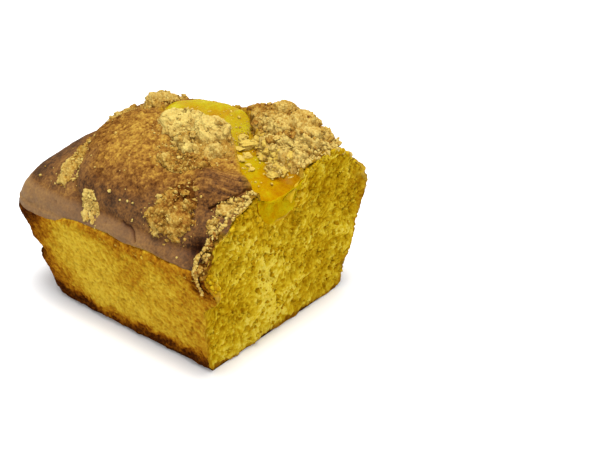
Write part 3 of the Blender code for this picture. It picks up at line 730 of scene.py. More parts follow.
    # Painted light: the tops of the chunks and packed crumbs are paler.
    bake = bake - 0.30 * flaky * (chunks - 0.3) - 0.32 * rough * (packed - 0.35)
    bake = bake + 0.12 * step(-x, 18.0, 38.0) * (1.0 - rough) * (1.0 - band)
    bake = bake + 0.30 * step(-x, 34.0, 54.0) * (1.0 - band) - 0.13 * band * step(-x, 20.0, 50.0)
    bake = bake + 0.16 * band * step(x, 10.0, 40.0) + 0.12 * shoulder_torn
    bake = bake - 0.25 * skin * (1.0 - rough)
    # Painted light trait: 1 where lit, less where painted shade falls between crumbs, in the fissure, crack, hollow,
    # lobe's crease, fold's creases, pits, dimples and torn sponge.
    deep = 1.0 - 0.9 * rough * (1.0 - packed) ** 2 - 0.75 * flaky * (1.0 - chunks) ** 2
    deep = deep - fissure - crack - 0.85 * hollow
    deep = deep - 0.35 * bell(inside / 1.1) * near - 0.6 * fold * np.clip(-creases - 0.2, 0.0, 1.0)
    deep = deep - bare * (0.54 - 0.8 * ragged) - 0.25 * shoulder_torn - 0.6 * np.clip(pits, 0.0, 1.0)
    deep = deep - 0.9 * np.clip(dimples, 0.0, 0.6) * (1.0 - rough)
    torn = np.maximum(torn, side * (1.0 - 0.6 * shoulder_torn))
    # satin sets the coat's real gloss and also the painted grey sheen; the band along the rim has the most.
    satin = np.maximum(0.36 * satin, band * (1.0 - 0.4 * step(x, 8.0, 36.0)))
    traits = {"bake": bake + 0.15 * side, "satin": satin, "deep": deep, "torn": torn}
    return relief, {name: np.clip(values, 0.0, 1.0) for name, values in traits.items()}


def along_shares(count, bend):
    """Shares of the loaf's length from 0 to 1, of which the first few, as many as bend, lie round the corner."""
    quarter = np.linspace(0.0, math.pi / 2, bend)
    corner = (1.0 - np.cos(quarter)) * CORNER_RADIUS / RIM_LENGTH
    return np.concatenate([corner, np.linspace(corner[-1], 1.0, count - bend + 1)[1:]])


def across_shares(count):
    """Places across the loaf from -1 to 1, closer together towards the sides."""
    even = np.linspace(-1.0, 1.0, count)
    return np.clip(0.6 * even + 0.4 * np.sin(even * math.pi / 2), -1.0, 1.0)


def make_crust(finish):
    """The crust: a fine grid over the dome, its edge draped a little way down the walls and then turned under.

    At the cut the edge turns straight under. The underside closes far inside the sponge.
    """
    rows, columns, drapes = 262, 296, 7
    share, across = np.meshgrid(along_shares(rows, 18), across_shares(columns), indexing="ij")
    top = loaf_point(share, across, np.ones_like(share))
    top[-1, :, 0] += flake_push(top[-1])
    relief, traits = crust_look(top)
    direction = outward(top) * np.stack([1.0 - step(share, 0.85, 0.98), 1.0 + 0.0 * share, 1.0 + 0.0 * share], axis=-1)
    top = top + direction / np.linalg.norm(direction, axis=-1, keepdims=True) * relief[..., None]
    edge = border(rows, columns)
    points = top.reshape(-1, 3)
    edge_share, edge_across = share.ravel()[edge], across.ravel()[edge]
    flat = (outward(points[edge]) * [1.0, 1.0, 0.0]).reshape(-1, 3)
    flat = flat / np.linalg.norm(flat, axis=-1, keepdims=True)
    wander = grain(points[edge], 4.0, 71)
    on_cut = edge_share == 1.0
    ended = (54.8 - crust_foot(points[edge, 0])) / 6.0
    drop = 1.2 + 0.5 * wander + 3.4 * ended
    rings = []
    for part in range(1, drapes + 1):
        down = part / drapes
        wall = loaf_point(edge_share, edge_across, 1.0 - drop * down / RIM_HEIGHT)
        proud = relief.ravel()[edge] * (1.0 - down) + (0.2 + 0.5 * ended) * math.sqrt(1.0 - down**2) - 0.3 * down
        straight = points[edge] - down * np.array([0.0, 0.0, 1.3]) - flat * (0.5 * down**2)
        rings.append(np.where(on_cut[:, None], straight, wall + flat * proud[:, None]))
    rings.append(rings[-1] - flat * 3.5)
    count, ring = len(points), len(edge)
    numbers = [edge] + [count + ring * n + np.arange(ring) for n in range(len(rings))]
    everything = np.concatenate([points, *rings, [[0.0, 0.0, 60.0]]])
    faces = [grid_faces(rows, columns)] + [loop_faces(a, b) for a, b in zip(numbers, numbers[1:])]
    faces.append(fan(numbers[-1], len(everything) - 1))
    for name, values in traits.items():
        around = values.ravel()[edge]
        around = np.tile(np.where(on_cut, 1.0, around) if name == "torn" else around, len(rings))
        traits[name] = np.concatenate([values.ravel(), around, [0.5]])
    return make_piece("crust", everything, faces, traits, finish, "sponge", "loaf")


def wall_look(points):
    """Relief and traits of the side walls: fine pores, gentle waves and a burnt, lumpy foot."""
    x, y, z = np.moveaxis(points, -1, 0)
    waves = 0.6 * layers(points, 13.0, 81)
    moved = warp(points, 3.0, 0.8, 180)
    pits = 0.6 * pores(moved, 1.9, 82, 0.6, 0.5) + 0.9 * pores(moved, 6.0, 83, 0.4, 0.2)
    grains = cobbles(moved, 2.2, 93)
    skin = 0.30 * layers(points, 2.2, 84, 2) + 0.4 * grains - pits
    foot = 1.0 - step(z + 4.0 * layers(points, 7.0, 90), 3.5, 13.5)
    burnt = cobbles(points, 4.6, 91)
    lumpy = foot * (1.7 * burnt - 0.6)
    end = step(-x, 22.0, 58.0)
    rim = bell((z - 54.0) / 3.0)
    corner = step(-y, 34.0, 46.0) * step(-x, 44.0, 58.0)
    nick = corner * (1.4 * bell((z - 22.0) / 2.5) - 2.2 * bell((z - 26.5 - 0.5 * waves) / 1.6))
    flap = step(x, 50.0, 57.0) * step(-y, 30.0, 45.0) * bell((z - 50.0) / 7.0)
    frayed = rubble(points, 2.1, 60)[0] - 0.45
    relief = (waves + skin + lumpy + nick - 0.3 * rim + 3.0 * flap * frayed) * step(z, 0.0, 1.2)
    bake = 0.27 + 0.12 * step(z, 38.0, 52.0) + 0.46 * end + 0.20 * end * step(z, 34.0, 48.0)
    bake = bake + 0.60 * foot + 0.40 * foot * burnt
    bake = bake + 0.20 * rim + 0.32 * layers(points, 16.0, 92) + 0.4 * (1.0 - step(z, 0.0, 2.0))
    bake = bake + 0.12 * step(x, 10.0, 45.0) * step(z, 4.0, 20.0)
    bake = bake - 0.21 * bell((x + 8.0) / 26.0) * bell((z - 27.0) / 16.0)
    bake = bake - 0.25 * (grains - 0.4) + 0.3 * corner * bell((z - 23.0) / 3.0) + flap * (0.38 - 0.5 * frayed)
    # Painted shade in the pores and between the grains.
    deep = 1.0 - 1.0 * np.clip(pits, 0.0, 1.0) - 0.3 * (1.0 - grains)
    soaked = 0.0 * x
    return relief, {"bake": np.clip(bake, 0.0, 1.0), "cut": soaked, "deep": np.clip(deep, 0.0, 1.0), "soaked": soaked}


def cut_look(points):
    """Relief and traits of the cut: torn crumb in waves, clumps and crumbs, with a few ragged holes.

    The crumb under the mouth of the split is soaked with curd, and the rim of the slice is browned.
    """
    x, y, z = np.moveaxis(points, -1, 0)
    moved = warp(points, 5.0, 1.8, 85)
    clumps, _ = rubble(moved, 4.6, 86)
    crumbs, _ = rubble(warp(points, 2.0, 0.7, 95) * [1.0, 1.2, 0.8], 1.9, 96)
    holes = pores(moved, 7.0, 88, 0.2, 0.26)
    waves = layers(points, 15.0, 89, 2)
    torn = 2.0 * clumps + 1.4 * crumbs - 0.6 * holes - 1.7 + 2.4 * waves
    under_crust = step(crust_height(x, y) - trough(x, y) - z, 0.3, 4.0)
    edge = np.clip(side_half_width(z) - np.abs(y), 0.0, 10.0)
    relief = torn * (0.25 + 0.75 * under_crust) * step(z, 0.0, 1.2) * (0.6 + 0.4 * step(edge, 0.0, 4.0))
    soaked = bell(np.hypot((y + 9.0) / 16.0, (z - 71.0) / 11.0) + 0.3 * layers(points, 6.0, 99))
    across, _ = split_share(x, y)
    filled = step(z - crust_height(x, y) + trough(x, y), -1.0, 3.0) * (1.0 - step(np.abs(across), 0.95, 1.15))
    relief = relief * (1.0 - 0.6 * soaked) * (1.0 - filled) - 1.0 * filled
    # Painted light on the tops of clumps, crumbs and waves, painted shade in the holes, and the lower part of the cut
    # painted darker, as shade.
    deep = 0.85 * clumps + 0.85 * crumbs - 0.3 * holes + 0.5 * waves - 0.08 + 0.10 * step(z, 20.0, 75.0)
    rind = 0.7 - 0.7 * step(edge + 0.8 * layers(points, 5.0, 97), 0.2, 2.6)
    rind = np.maximum(rind, 1.0 - step(z + layers(points, 5.0, 98), 0.8, 3.0))
    flap = bell((y + 54.0) / 5.0) * bell((z - 50.0) / 9.0)
    relief = relief + 1.5 * flap * (rubble(points, 2.1, 60)[0] - 0.45)
    rind = np.maximum(rind, 0.9 * flap)
    far_tip = bell((y - 51.0) / 8.0) * bell((z - 63.0) / 11.0)
    rind = np.maximum(rind, 0.95 * far_tip * (0.7 + 0.6 * layers(points, 4.0, 100)))
    bake = 0.45 + 0.3 * rind + 0.12 * far_tip
    return relief, {"bake": bake, "cut": 1.0 - 0.8 * rind, "deep": np.clip(deep, 0.0, 1.0), "soaked": soaked}


def curd_drop(x, y):
    """How far the filled split lies below the crust: the curd's top, or the trough's side where that is higher."""
    across, _ = split_share(x, y)
    sunk, _, _ = curd_top(x, np.clip(across / 1.1, -1.0, 1.0), plan(x, y))
    return np.minimum(trough(x, y), np.maximum(sunk, 0.0))


def tuck_under(side, gap, slump=0.0):
    """Points of the top edge of a wall brought down until they lie just under the crust and the curd."""
    x, y, z = np.moveaxis(side, -1, 0)
    across, _ = split_share(x, y)
    slumped = slump * np.clip(1.0 - across**2, 0.0, 1.0)
    crust = crust_height(x, y) - np.minimum(curd_drop(x, y) + slumped, trough(x, y)) - gap
    side[..., 2] = np.where((z > crust) & (z > RIM_HEIGHT + 0.5), crust, z)
    return side


OVER_RIM = (0.0015, 0.004, 0.0075, 0.012, 0.017, 0.023)


def make_walls(finish):
    """The side walls and the baked end: three gridded walls and a flat base.

    They carry on a little way over the rim, and close under the crust and behind the cut, at hidden points.
    """
    stations, columns, rises = 200, 210, 112
    shares, across = along_shares(stations, 16), across_shares(columns)
    walk = np.concatenate([shares[::-1], np.zeros(columns - 2), shares])
    wide = np.concatenate([-np.ones(stations), across[1:-1], np.ones(stations)])
    rise = np.linspace(0.0, 1.0, rises)
    share, height = np.meshgrid(walk, rise, indexing="ij")
    width, _ = np.meshgrid(wide, rise, indexing="ij")
    side = tuck_under(loaf_point(share, width, height), 0.7)
    over = [loaf_point(np.maximum(walk, reach), wide * (1.0 - reach), np.ones_like(walk)) for reach in OVER_RIM]
    side = np.concatenate([side, np.stack(over, axis=1)], axis=1)
    rises += len(OVER_RIM)
    relief, traits = wall_look(side)
    relief[:, -1] -= 2.0
    hung = step(side[..., 2] - crust_foot(side[..., 0]), 0.3, 1.8)
    relief = relief * (1.0 - hung) - 3.0 * hung
    points = (side + outward(side) * relief[..., None]).reshape(-1, 3)
    length = len(walk)
    foot = np.arange(length) * rises
    points[foot, 2] = 0.0
    count = len(points)
    under_crust = np.array([[0.0, 0.0, 62.0]])
    opening = np.concatenate([count - rises + np.arange(rises), [count], np.arange(rises)[::-1]])
    inner = count + 2 + np.arange(len(opening))
    everything = np.concatenate([points, under_crust, [[30.0, 0.0, 30.0]]])
    everything = np.concatenate([everything, pulled_in(everything[opening])])
    faces = [grid_faces(length, rises), foot[None, :], fan(foot + rises - 1, count)[:-1]]
    faces += [loop_faces(opening, inner), fan(inner, count + 1)]
    traits = {name: np.append(values.ravel(), np.zeros(len(inner) + 2)) for name, values in traits.items()}
    return make_piece("sponge_walls", everything, faces, traits, finish, "sponge", "loaf")


def make_cut(finish):
    """The cut: a fine grid of torn crumb that closes at a hidden point behind it."""
    columns, rises = 236, 190
    width, height = np.meshgrid(across_shares(columns), np.linspace(0.0, 1.0, rises), indexing="ij")
    face = tuck_under(loaf_point(np.ones_like(width), width, height), 0.3, 3.4)
    relief, traits = cut_look(face)
    on_wall, _ = wall_look(face)
    share = step(side_half_width(face[..., 2]) - np.abs(face[..., 1]), 0.0, 0.9)
    relief = relief * share + on_wall * (1.0 - share)
    points = (face + outward(face) * relief[..., None]).reshape(-1, 3)
    points[np.arange(columns) * rises, 2] = 0.0
    edge = border(columns, rises)
    inner = len(points) + 1 + np.arange(len(edge))
    everything = np.concatenate([points, [[30.0, 0.0, 30.0]], pulled_in(points[edge])])
    faces = [grid_faces(columns, rises), loop_faces(edge, inner), fan(inner, len(points))]
    traits = {name: np.append(values.ravel(), np.zeros(len(inner) + 1)) for name, values in traits.items()}
    return make_piece("torn_cut", everything, faces, traits, finish, "sponge", "loaf")


def curd_top(x, across, here):
    """Height of the curd's top under the crust's own height: sunk in the middle, waved, and level at its edges."""
    start = CURD_END_X - 0.5
    rounding = np.sqrt(np.clip(1.0 - np.clip(1.0 - (x - start) / POOL_ROUNDING, 0.0, 1.0) ** 2, 0.0, 1.0))
    depth = split_depth(x) * rounding
    sink = (0.36 * depth - 1.7 * step(rounding, 0.0, 0.8)) * (1.0 - across**4) + 0.35 + 0.6 * np.abs(across) ** 9
    waves = 0.7 * grain(here, 7.0, 21) + 0.35 * layers(here, 4.0, 22) + 0.1 * grain(here, 1.4, 23)
    return sink - waves * (1.0 - across**8), waves, depth


def make_curd(finish):
    """The curd: a rounded cross-section carried along the split, its top waved and its edges under the crust.

    The section shrinks to a point at the pool's end, and swells a little out of the cut before it closes.
    """
    stations, around, caps = 180, 96, 12
    turn = np.linspace(0.0, math.pi / 2, caps + 1)[1:, None]
    run = np.concatenate([np.linspace(0.0, 1.0, stations), np.ones(caps)])[:, None]
    shrink = np.concatenate([np.ones((stations, 1)), np.cos(turn) ** 0.5])
    bulge = np.concatenate([np.zeros((stations, 1)), np.sin(turn)])
    angle = np.arange(around)[None, :] * math.tau / around
    across, upper = -np.cos(angle), np.sin(angle) > -1e-9
    start, end = CURD_END_X - 0.5, CUT_X + 0.3
    x = start + (end - start) * run + 0.0 * across
    rounding = np.sqrt(np.clip(1.0 - np.clip(1.0 - (x - start) / POOL_ROUNDING, 0.0, 1.0) ** 2, 0.002, 1.0))
    open_mouth = step(x, MOUTH_X - 14.0, CUT_X)
    y = split_line(x) + curd_half_width(x) * rounding * (1.05 + 0.10 * open_mouth) * across
    crust = crust_height(x, y)
    sunk, waves, depth = curd_top(x, across, plan(x, y))
    top = crust - sunk
    floor = crust - depth * (1.0 - 0.75 * np.abs(across) ** 2.6) - 0.6 - 1.2 * open_mouth
    slump = step(x, CUT_X - 9.0, CUT_X + 1.5) * 2.6 * (1.0 - across**2)
    z = np.where(upper, top - slump, np.minimum(floor, top - 0.2))
    points = np.stack([x, y, z], axis=-1)
    middle = points[stations - 1].mean(axis=0)
    points[stations:] = middle + (points[stations:] - middle) * shrink[stations:, :, None]
    lean = cut_face_x(points[..., 1], points[..., 2]) - CUT_X + 0.9 * layers(points, 3.4, 24)
    points[..., 0] += 0.6 * bulge + (lean - 0.4 * ~upper) * step(x, CUT_X - 12.0, CUT_X + 1.0)
    flat = points.reshape(-1, 3)
    faces = [grid_faces(stations + caps, around, closed=True)]
    # Painted light: the crests of the waves get more of it.
    deep = 0.5 + 0.5 * np.clip(waves, -1.0, 1.0) * np.ones_like(z)
    first = flat[:around].mean(axis=0)
    everything = np.concatenate([flat, [first]])
    faces.append(fan(np.arange(around)[::-1], len(everything) - 1))
    amber = step(x, 20.0, CUT_X) * 0.85 + 0.4 * np.abs(across) ** 6 * (x < CUT_X)
    wet = upper * (1.0 - 0.8 * step(x, 34.0, 44.0)) * (1.0 - step(x, CUT_X - 3.0, CUT_X))
    traits = {"deep": deep, "bake": amber * (bulge == 0.0) + 0.24 * (bulge > 0.0), "satin": wet}
    traits = {name: np.append(values.ravel(), 0.0) for name, values in traits.items()}
    return make_piece("curd", everything, faces, traits, finish, "curd", "lemon_curd")


def ball(rings, columns):
    """Directions over a ball, ring by ring with one point at each pole, and the faces between them."""
    polar = np.linspace(0.0, math.pi, rings + 2)[1:-1, None]
    angle = np.arange(columns)[None, :] * math.tau / columns
    ring = np.stack(np.broadcast_arrays(np.sin(polar) * np.cos(angle), np.sin(polar) * np.sin(angle), np.cos(polar)), -1)
    directions = np.concatenate([ring.reshape(-1, 3), [[0.0, 0.0, 1.0], [0.0, 0.0, -1.0]]])
    quads = grid_faces(rings, columns, closed=True)
    last = rings * columns
    triangles = np.concatenate([fan(np.arange(columns), last), fan(np.arange(last - columns, last)[::-1], last + 1)])
    return directions, quads, triangles


def lumps(centres, radii, seed, rings, columns, craggy, tones, squash=0.0):
    """Uneven crumbs: blunt random polyhedra, packed all over with grains, each turned its own way.

    The reach of a crumb in a direction d is the sum over its random sides n of (d.n / distance of the side) to the
    8th power, to the power -1/8. Gives points, faces, and a tone and a level of painted light for each point, with
    painted shade in the cracks between grains.
    """
    draw = np.random.default_rng(seed)
    count = len(centres)
    directions, quads, triangles = ball(rings, columns)
    sides = draw.normal(size=(count, 11, 3))
    sides /= np.linalg.norm(sides, axis=-1, keepdims=True)
    distances = draw.uniform(0.62, 1.05, (count, 1, 11))
    facing = np.clip(np.einsum("vi,kni->kvn", directions, sides) / distances, 0.0, None)
    reach = (facing**8).sum(axis=-1) ** (-1 / 8)
    reach = np.clip(reach, 0.4, 1.3)
    shape = directions * (reach * radii[:, None])[..., None]
    own = draw.uniform(0.0, 900.0, (count, 1, 3)) + shape
    packed = cobbles(own, 1.7, seed + 1) if craggy else 0.6 + 0.0 * reach
    fine = cobbles(own, 0.9, seed + 2) if craggy > 0.3 else packed
    grow = craggy * (0.9 * (packed - 0.5) + 0.4 * (fine - 0.5)) + 0.18 * radii[:, None] * grain(own, 1.2, seed)
    shape = shape + directions * grow[..., None]
    turns, _ = np.linalg.qr(draw.normal(size=(count, 3, 3)))
    shape = np.einsum("kvi,kji->kvj", shape * draw.uniform(0.75, 1.15, (count, 1, 3)), turns)
    points = centres[:, None] + shape * [1.0, 1.0, 1.0 - squash]
    shift = (np.arange(count) * len(directions))[:, None, None]
    faces = [(part + shift).reshape(-1, part.shape[1]) for part in (quads, triangles)]
    # Painted shade: lower in the cracks between the grains.
    depth = np.clip(0.2 + 0.6 * packed + 0.5 * fine, 0.0, 1.0) if craggy else 0.85 + 0.0 * packed
    tone = tones[:, None] + 0.0 * packed
    return points.reshape(-1, 3), faces, tone.ravel(), depth.ravel()


def gather(parts):
    """Join several sets of points, faces, tones and levels of painted light into one."""
    points, faces, tones, painted_lights = [], [], [], []
    for part_points, part_faces, tone, depth in parts:
        start = sum(map(len, points))
        points.append(part_points)
        faces += [part + start for part in part_faces]
        tones.append(tone)
        painted_lights.append(depth)
    return np.concatenate(points), faces, {"bake": np.concatenate(tones), "deep": np.concatenate(painted_lights)}


def heap_reach(spec, angle, seed):
    """Reach of a heap's outline at an angle: from its plan outline, or an ellipse with three waves on it."""
    if seed in OUTLINES:
        off = np.array(OUTLINES[seed]) - spec[0]
        return np.interp(angle, np.arctan2(off[:, 1], off[:, 0]), np.hypot(off[:, 0], off[:, 1]), period=math.tau)
    turned = angle - math.radians(spec[3])
    starts = np.random.default_rng(seed).uniform(0.0, math.tau, 3)
    waves = 0.10 * np.sin(2 * angle + starts[0]) + 0.08 * np.sin(3 * angle + starts[1])
    waves = 0.92 + waves + 0.05 * np.sin(5 * angle + starts[2])
    return waves / np.hypot(np.cos(turned) / spec[1], np.sin(turned) / spec[2])


def heap_place(spec, share, angle, seed):
    """Plan point of a heap, given as a share of the way from its middle to its outline; the cut ends it."""
    reach = share * heap_reach(spec, angle, seed)
    x, y = spec[0][0] + reach * np.cos(angle), spec[0][1] + reach * np.sin(angle)
    return np.minimum(x, cut_face_x(y, crust_height(x, y)) - 2.3), y


def domes(x, y, places):
    """Height of the highest of some rounded humps, each given by its plan place, radius and height."""
    top = np.zeros(np.broadcast(x, y).shape)
    for hump_x, hump_y, radius, height in places:
        away = np.clip(((x - hump_x) ** 2 + (y - hump_y) ** 2) / radius**2, 0.0, 1.0)
        top = np.maximum(top, height * (1.0 - away) ** 0.6)
    return top


def pad_lift(spec, seed, share, x, y):
    """Height of a heap's body over the crust: a low dome with humps on it, ragged at its edge.

    Gives also how much the heap covers, from 0 to 1, and its knobs, from 0 in the gaps between them to 1.
    """
    here = plan(x, y)
    cover = step(1.04 - share + 0.26 * layers(here, 6.0, seed + 3) + 0.34 * layers(here, 2.2, seed + 4), 0.0, 0.26)
    across, _ = split_share(x, y)
    past = x - cut_face_x(y, crust_height(x, y))
    beyond = 1.0 - step(x, CURD_END_X - 2.5, CURD_END_X)
    cover = cover * np.maximum(step(np.abs(across) + 0.14 * layers(here, 3.0, 102), 0.84, 1.02), beyond)
    cover = cover * (1.0 - step(past + layers(here, 3.0, 101), -4.4, -2.7))
    dome = 0.6 * spec[4] * np.clip(1.0 - share**2, 0.0, 1.0) ** 0.8 * (0.8 + 0.5 * grain(here, 3.5, seed))
    humps = domes(x, y, HUMPS.get(seed, ((0.0, 0.0, 1.0, 0.0),)))
    lumpy = 0.45 * spec[4] * cobbles(warp(here, 8.0, 2.0, seed + 11), 8.0, seed + 14)
    knob = np.maximum(humps, lumpy)
    return (dome + knob) * cover**0.6 - 3.0 * (1.0 - cover) - curd_drop(x, y), cover, np.clip(knob / 3.0, 0.0, 1.0)


def settle(x, y, lift):
    """Points a given lift over the crust with its relief."""
    relief, _ = crust_look(over_crust(x, y, 0.0))
    return over_crust(x, y, np.clip(relief, -1.5, 3.0) + lift)


def grid_normals(points):
    """Directions square to a grid that is closed along its rows, upwards."""
    along = np.gradient(points, axis=0)
    around = np.roll(points, -1, axis=1) - np.roll(points, 1, axis=1)
    normal = np.cross(along, around)
    return normal / np.linalg.norm(normal, axis=-1, keepdims=True) * np.sign(normal[..., 2:])


def make_heap(name, node, spec, seed, finish):
    """A heap of crumble: its body packed with grains, then craggy lumps and small crumbs on top and around."""
    half_length, half_width, thickness = spec[1], spec[2], spec[4]
    large, middling, small, browned = spec[5:]
    rings, columns = int(3.0 * (half_length + half_width) / 2) + 12, int(11.0 * half_length) + 30
    share = np.linspace(0.0, 1.18, rings + 1)[1:, None]
    angle = (np.arange(columns)[None, :] + 0.5) * math.tau / columns
    x, y = heap_place(spec, share, angle, seed)
    lift, cover, knob = pad_lift(spec, seed, share, x, y)
    smooth = settle(x, y, lift)
    clods, _ = rubble(smooth, 4.4, seed + 20)
    grains, _ = rubble(smooth, 1.7, seed + 26)
    packed = 0.5 * clods + 0.5 * grains
    body = smooth + grid_normals(smooth) * ((2.6 * clods + 1.2 * grains - 1.6) * cover)[..., None]
    sides = half_length, half_width
    toasted = ((x - spec[0][0]) * -0.3 + (y - spec[0][1])) / max(sides)
    # Tone: toasted towards one side; paler on packed crumbs and knob tops as painted light, darker between the knobs
    # and on the side towards the cut as painted shade.
    tone = 0.28 + browned * (0.55 + 0.9 * toasted * (browned > 0.0)) - 0.2 * (packed - 0.5)
    tone = tone + 0.15 * (x - spec[0][0]) / max(sides) + (0.40 * (0.55 - knob) if seed in HUMPS else 0.0)
    flat = body.reshape(-1, 3)
    count = len(flat)
    edge = np.arange(count - columns, count)
    foot = over_crust(x[-1], y[-1], lift[-1] - 1.5)
    middle = np.array(spec[0]).reshape(2, 1)
    lift_middle, *_ = pad_lift(spec, seed, np.zeros(1), *middle)
    deepest = pulled_in(over_crust(*middle, np.array([-6.0 - 2.2 * half_length])))
    points = np.concatenate([flat, foot, settle(*middle, lift_middle), deepest])
    ring = count + np.arange(columns)
    faces = [grid_faces(rings, columns, closed=True), fan(np.arange(columns)[::-1], count + columns)]
    faces += [loop_faces(edge, ring), fan(ring, count + columns + 1)]
    # Painted shade in the gaps between crumbs, less on the knobs.
    depth = np.concatenate([np.clip(1.7 * packed - 0.22 + 0.25 * knob, 0.0, 1.0).ravel(), np.full(columns + 2, 0.3)])
    tone = np.concatenate([tone.ravel(), np.full(columns + 2, 0.3)])
    parts = [(points, faces, tone, depth)]
    draw = np.random.default_rng(seed + 5)

    def strew(number, reach, low, high):
        """Random places in the outline with a radius each, small ones the most common."""
        shares = np.sqrt(draw.uniform(0.0, 1.0, number)) * reach
        angles = draw.uniform(0.0, math.tau, number)
        radii = low + (high - low) * draw.uniform(0.0, 1.0, number) ** 1.8
        return shares, *heap_place(spec, shares, angles, seed), radii

    size = min(thickness, 3.6) / 3.6
    shares, big_x, big_y, big_r = strew(large, 0.86, 1.1 * size + 0.4, 2.7 * size + 0.4)
    lifts = np.maximum(pad_lift(spec, seed, shares, big_x, big_y)[0], -0.3) + big_r * 0.05
    tones = 0.28 + 0.5 * browned + draw.normal(0.0, 0.10, large)
    if large:
        parts.append(lumps(settle(big_x, big_y, lifts), big_r, seed * 7, 19, 28, 0.6, tones, 0.2))
    for number, reach, low, high, rows, sides, craggy in (
        (middling // 2, 0.98, 0.5, 1.15, 10, 14, 0.45),
        (small * 2 // 3, 1.16, 0.2, 0.55, 3, 6, 0.0),
    ):
        shares, lump_x, lump_y, radii = strew(number, reach, low, high)
        gap = (lump_x[:, None] - big_x) ** 2 + (lump_y[:, None] - big_y) ** 2
        on_top = np.sqrt(np.clip(big_r**2 - gap, 0.0, None)).max(axis=1, initial=0.0) * 0.8
        base, *_ = pad_lift(spec, seed, shares, lump_x, lump_y)
        lifts = np.maximum(base, -0.2) + on_top + radii * 0.1
        tones = 0.22 + 0.45 * browned + draw.normal(0.0, 0.14, number)
        parts.append(lumps(settle(lump_x, lump_y, lifts), radii, seed * 7 + number, rows, sides, craggy, tones))
    points, faces, traits = gather(parts)
    return make_piece(name, points, faces, traits, finish, "crumble", node)


def make_loose_crumbs(finish):
    """Crumbs that fell on the crust, and crumbs along the edge of the cut."""
    draw = np.random.default_rng(77)
    count = 120
    x = draw.uniform(END_X + 14.0, CUT_X - 4.0, count)
    y = draw.uniform(-0.96, 0.9, count) * rim_half_width(x)
    radii = 0.2 + 0.5 * draw.uniform(0.0, 1.0, count) ** 3.0
    clear = np.abs(split_share(x, y)[0]) > 1.15
    x, y, radii = x[clear], y[clear], radii[clear]
    specks = np.array(SPECKS)
    x, y, radii = (np.concatenate(pair) for pair in zip((x, y, radii), specks.T))
    edge_y = draw.uniform(-38.0, 40.0, 320)
    edge_x = cut_face_x(edge_y, crust_height(CUT_X + 0.0 * edge_y, edge_y)) - 0.1
    edge_x = edge_x - 4.0 * draw.uniform(0.0, 1.0, 320) ** 1.4
    clear = np.abs(split_share(edge_x, edge_y)[0]) > 1.1
    x, y = np.append(x, edge_x[clear]), np.append(y, edge_y[clear])
    radii = np.append(radii, 0.35 + 0.8 * draw.uniform(0.0, 1.0, np.sum(clear)) ** 1.6)
    tones = draw.normal(0.12, 0.12, len(x))
    torn_x, torn_y = draw.uniform(54.5, 61.5, 260), draw.uniform(-55.4, -44.0, 260)
    height = crust_height(torn_x, torn_y)
    clear = (torn_x > flake_line_x(height) + 0.8) & (torn_x < cut_face_x(torn_y, height) - 0.4)
    x, y = np.append(x, torn_x[clear]), np.append(y, torn_y[clear])
    radii = np.append(radii, 0.3 + 0.7 * draw.uniform(0.0, 1.0, np.sum(clear)) ** 1.5)
    tones = np.append(tones, draw.normal(0.6, 0.22, np.sum(clear)))
    parts = [lumps(settle(x, y, radii * 0.2), radii, 501, 5, 8, 0.25, tones)]
    points, faces, traits = gather(parts)
    return make_piece("fallen_crumbs", points, faces, traits, finish, "crumble", "loaf")


def make_cut_crumbs(finish):
    """Crumbs of sponge that cling to the cut: uneven lumps half sunk in its face."""
    draw = np.random.default_rng(78)
    count = 1500
    y = draw.uniform(-47.0, 54.0, count)
    z = 3.0 + 84.0 * draw.uniform(0.0, 1.0, count) ** 0.8
    y, z = np.append(y, draw.uniform(-56.0, -46.0, 110)), np.append(z, draw.uniform(37.0, 60.0, 110))
    x = cut_face_x(y, z)
    keep = (z < crust_height(x, y) - trough(x, y) - 1.0) & (np.abs(y) < side_half_width(z) - 1.0)
    x, y, z = x[keep], y[keep], z[keep]
    edge_y = draw.uniform(-42.0, 48.0, 260)
    edge_top = crust_height(CUT_X + 2.0 + 0.0 * edge_y, edge_y)
    edge_z = edge_top - curd_drop(CUT_X + 2.0 + 0.0 * edge_y, edge_y) - 1.6 * draw.uniform(0.0, 1.0, 260) ** 1.5
    bare = np.abs(split_share(CUT_X + 2.0 + 0.0 * edge_y, edge_y)[0]) > 1.12
    y, z = np.append(y, edge_y[bare]), np.append(z, edge_z[bare])
    x = cut_face_x(y, z)
    radii = 0.35 + 1.0 * draw.uniform(0.0, 1.0, len(x)) ** 2.4
    face = np.stack([x, y, z], axis=-1)
    relief, traits = cut_look(face)
    face = face + outward(face) * relief[:, None]
    points, faces, tone, _ = lumps(face, radii, 601, 4, 7, 0.0, 0.2 + 0.0 * radii)
    size = len(points) // len(radii)
    # Painted shade, varied at random.
    traits = {"bake": tone, "cut": np.ones(len(points)), "deep": 0.6 + 0.35 * grain(points, 1.5, 602),
              "soaked": np.repeat(traits["soaked"], size)}
    return make_piece("cut_crumbs", points, faces, traits, finish, "sponge", "loaf")


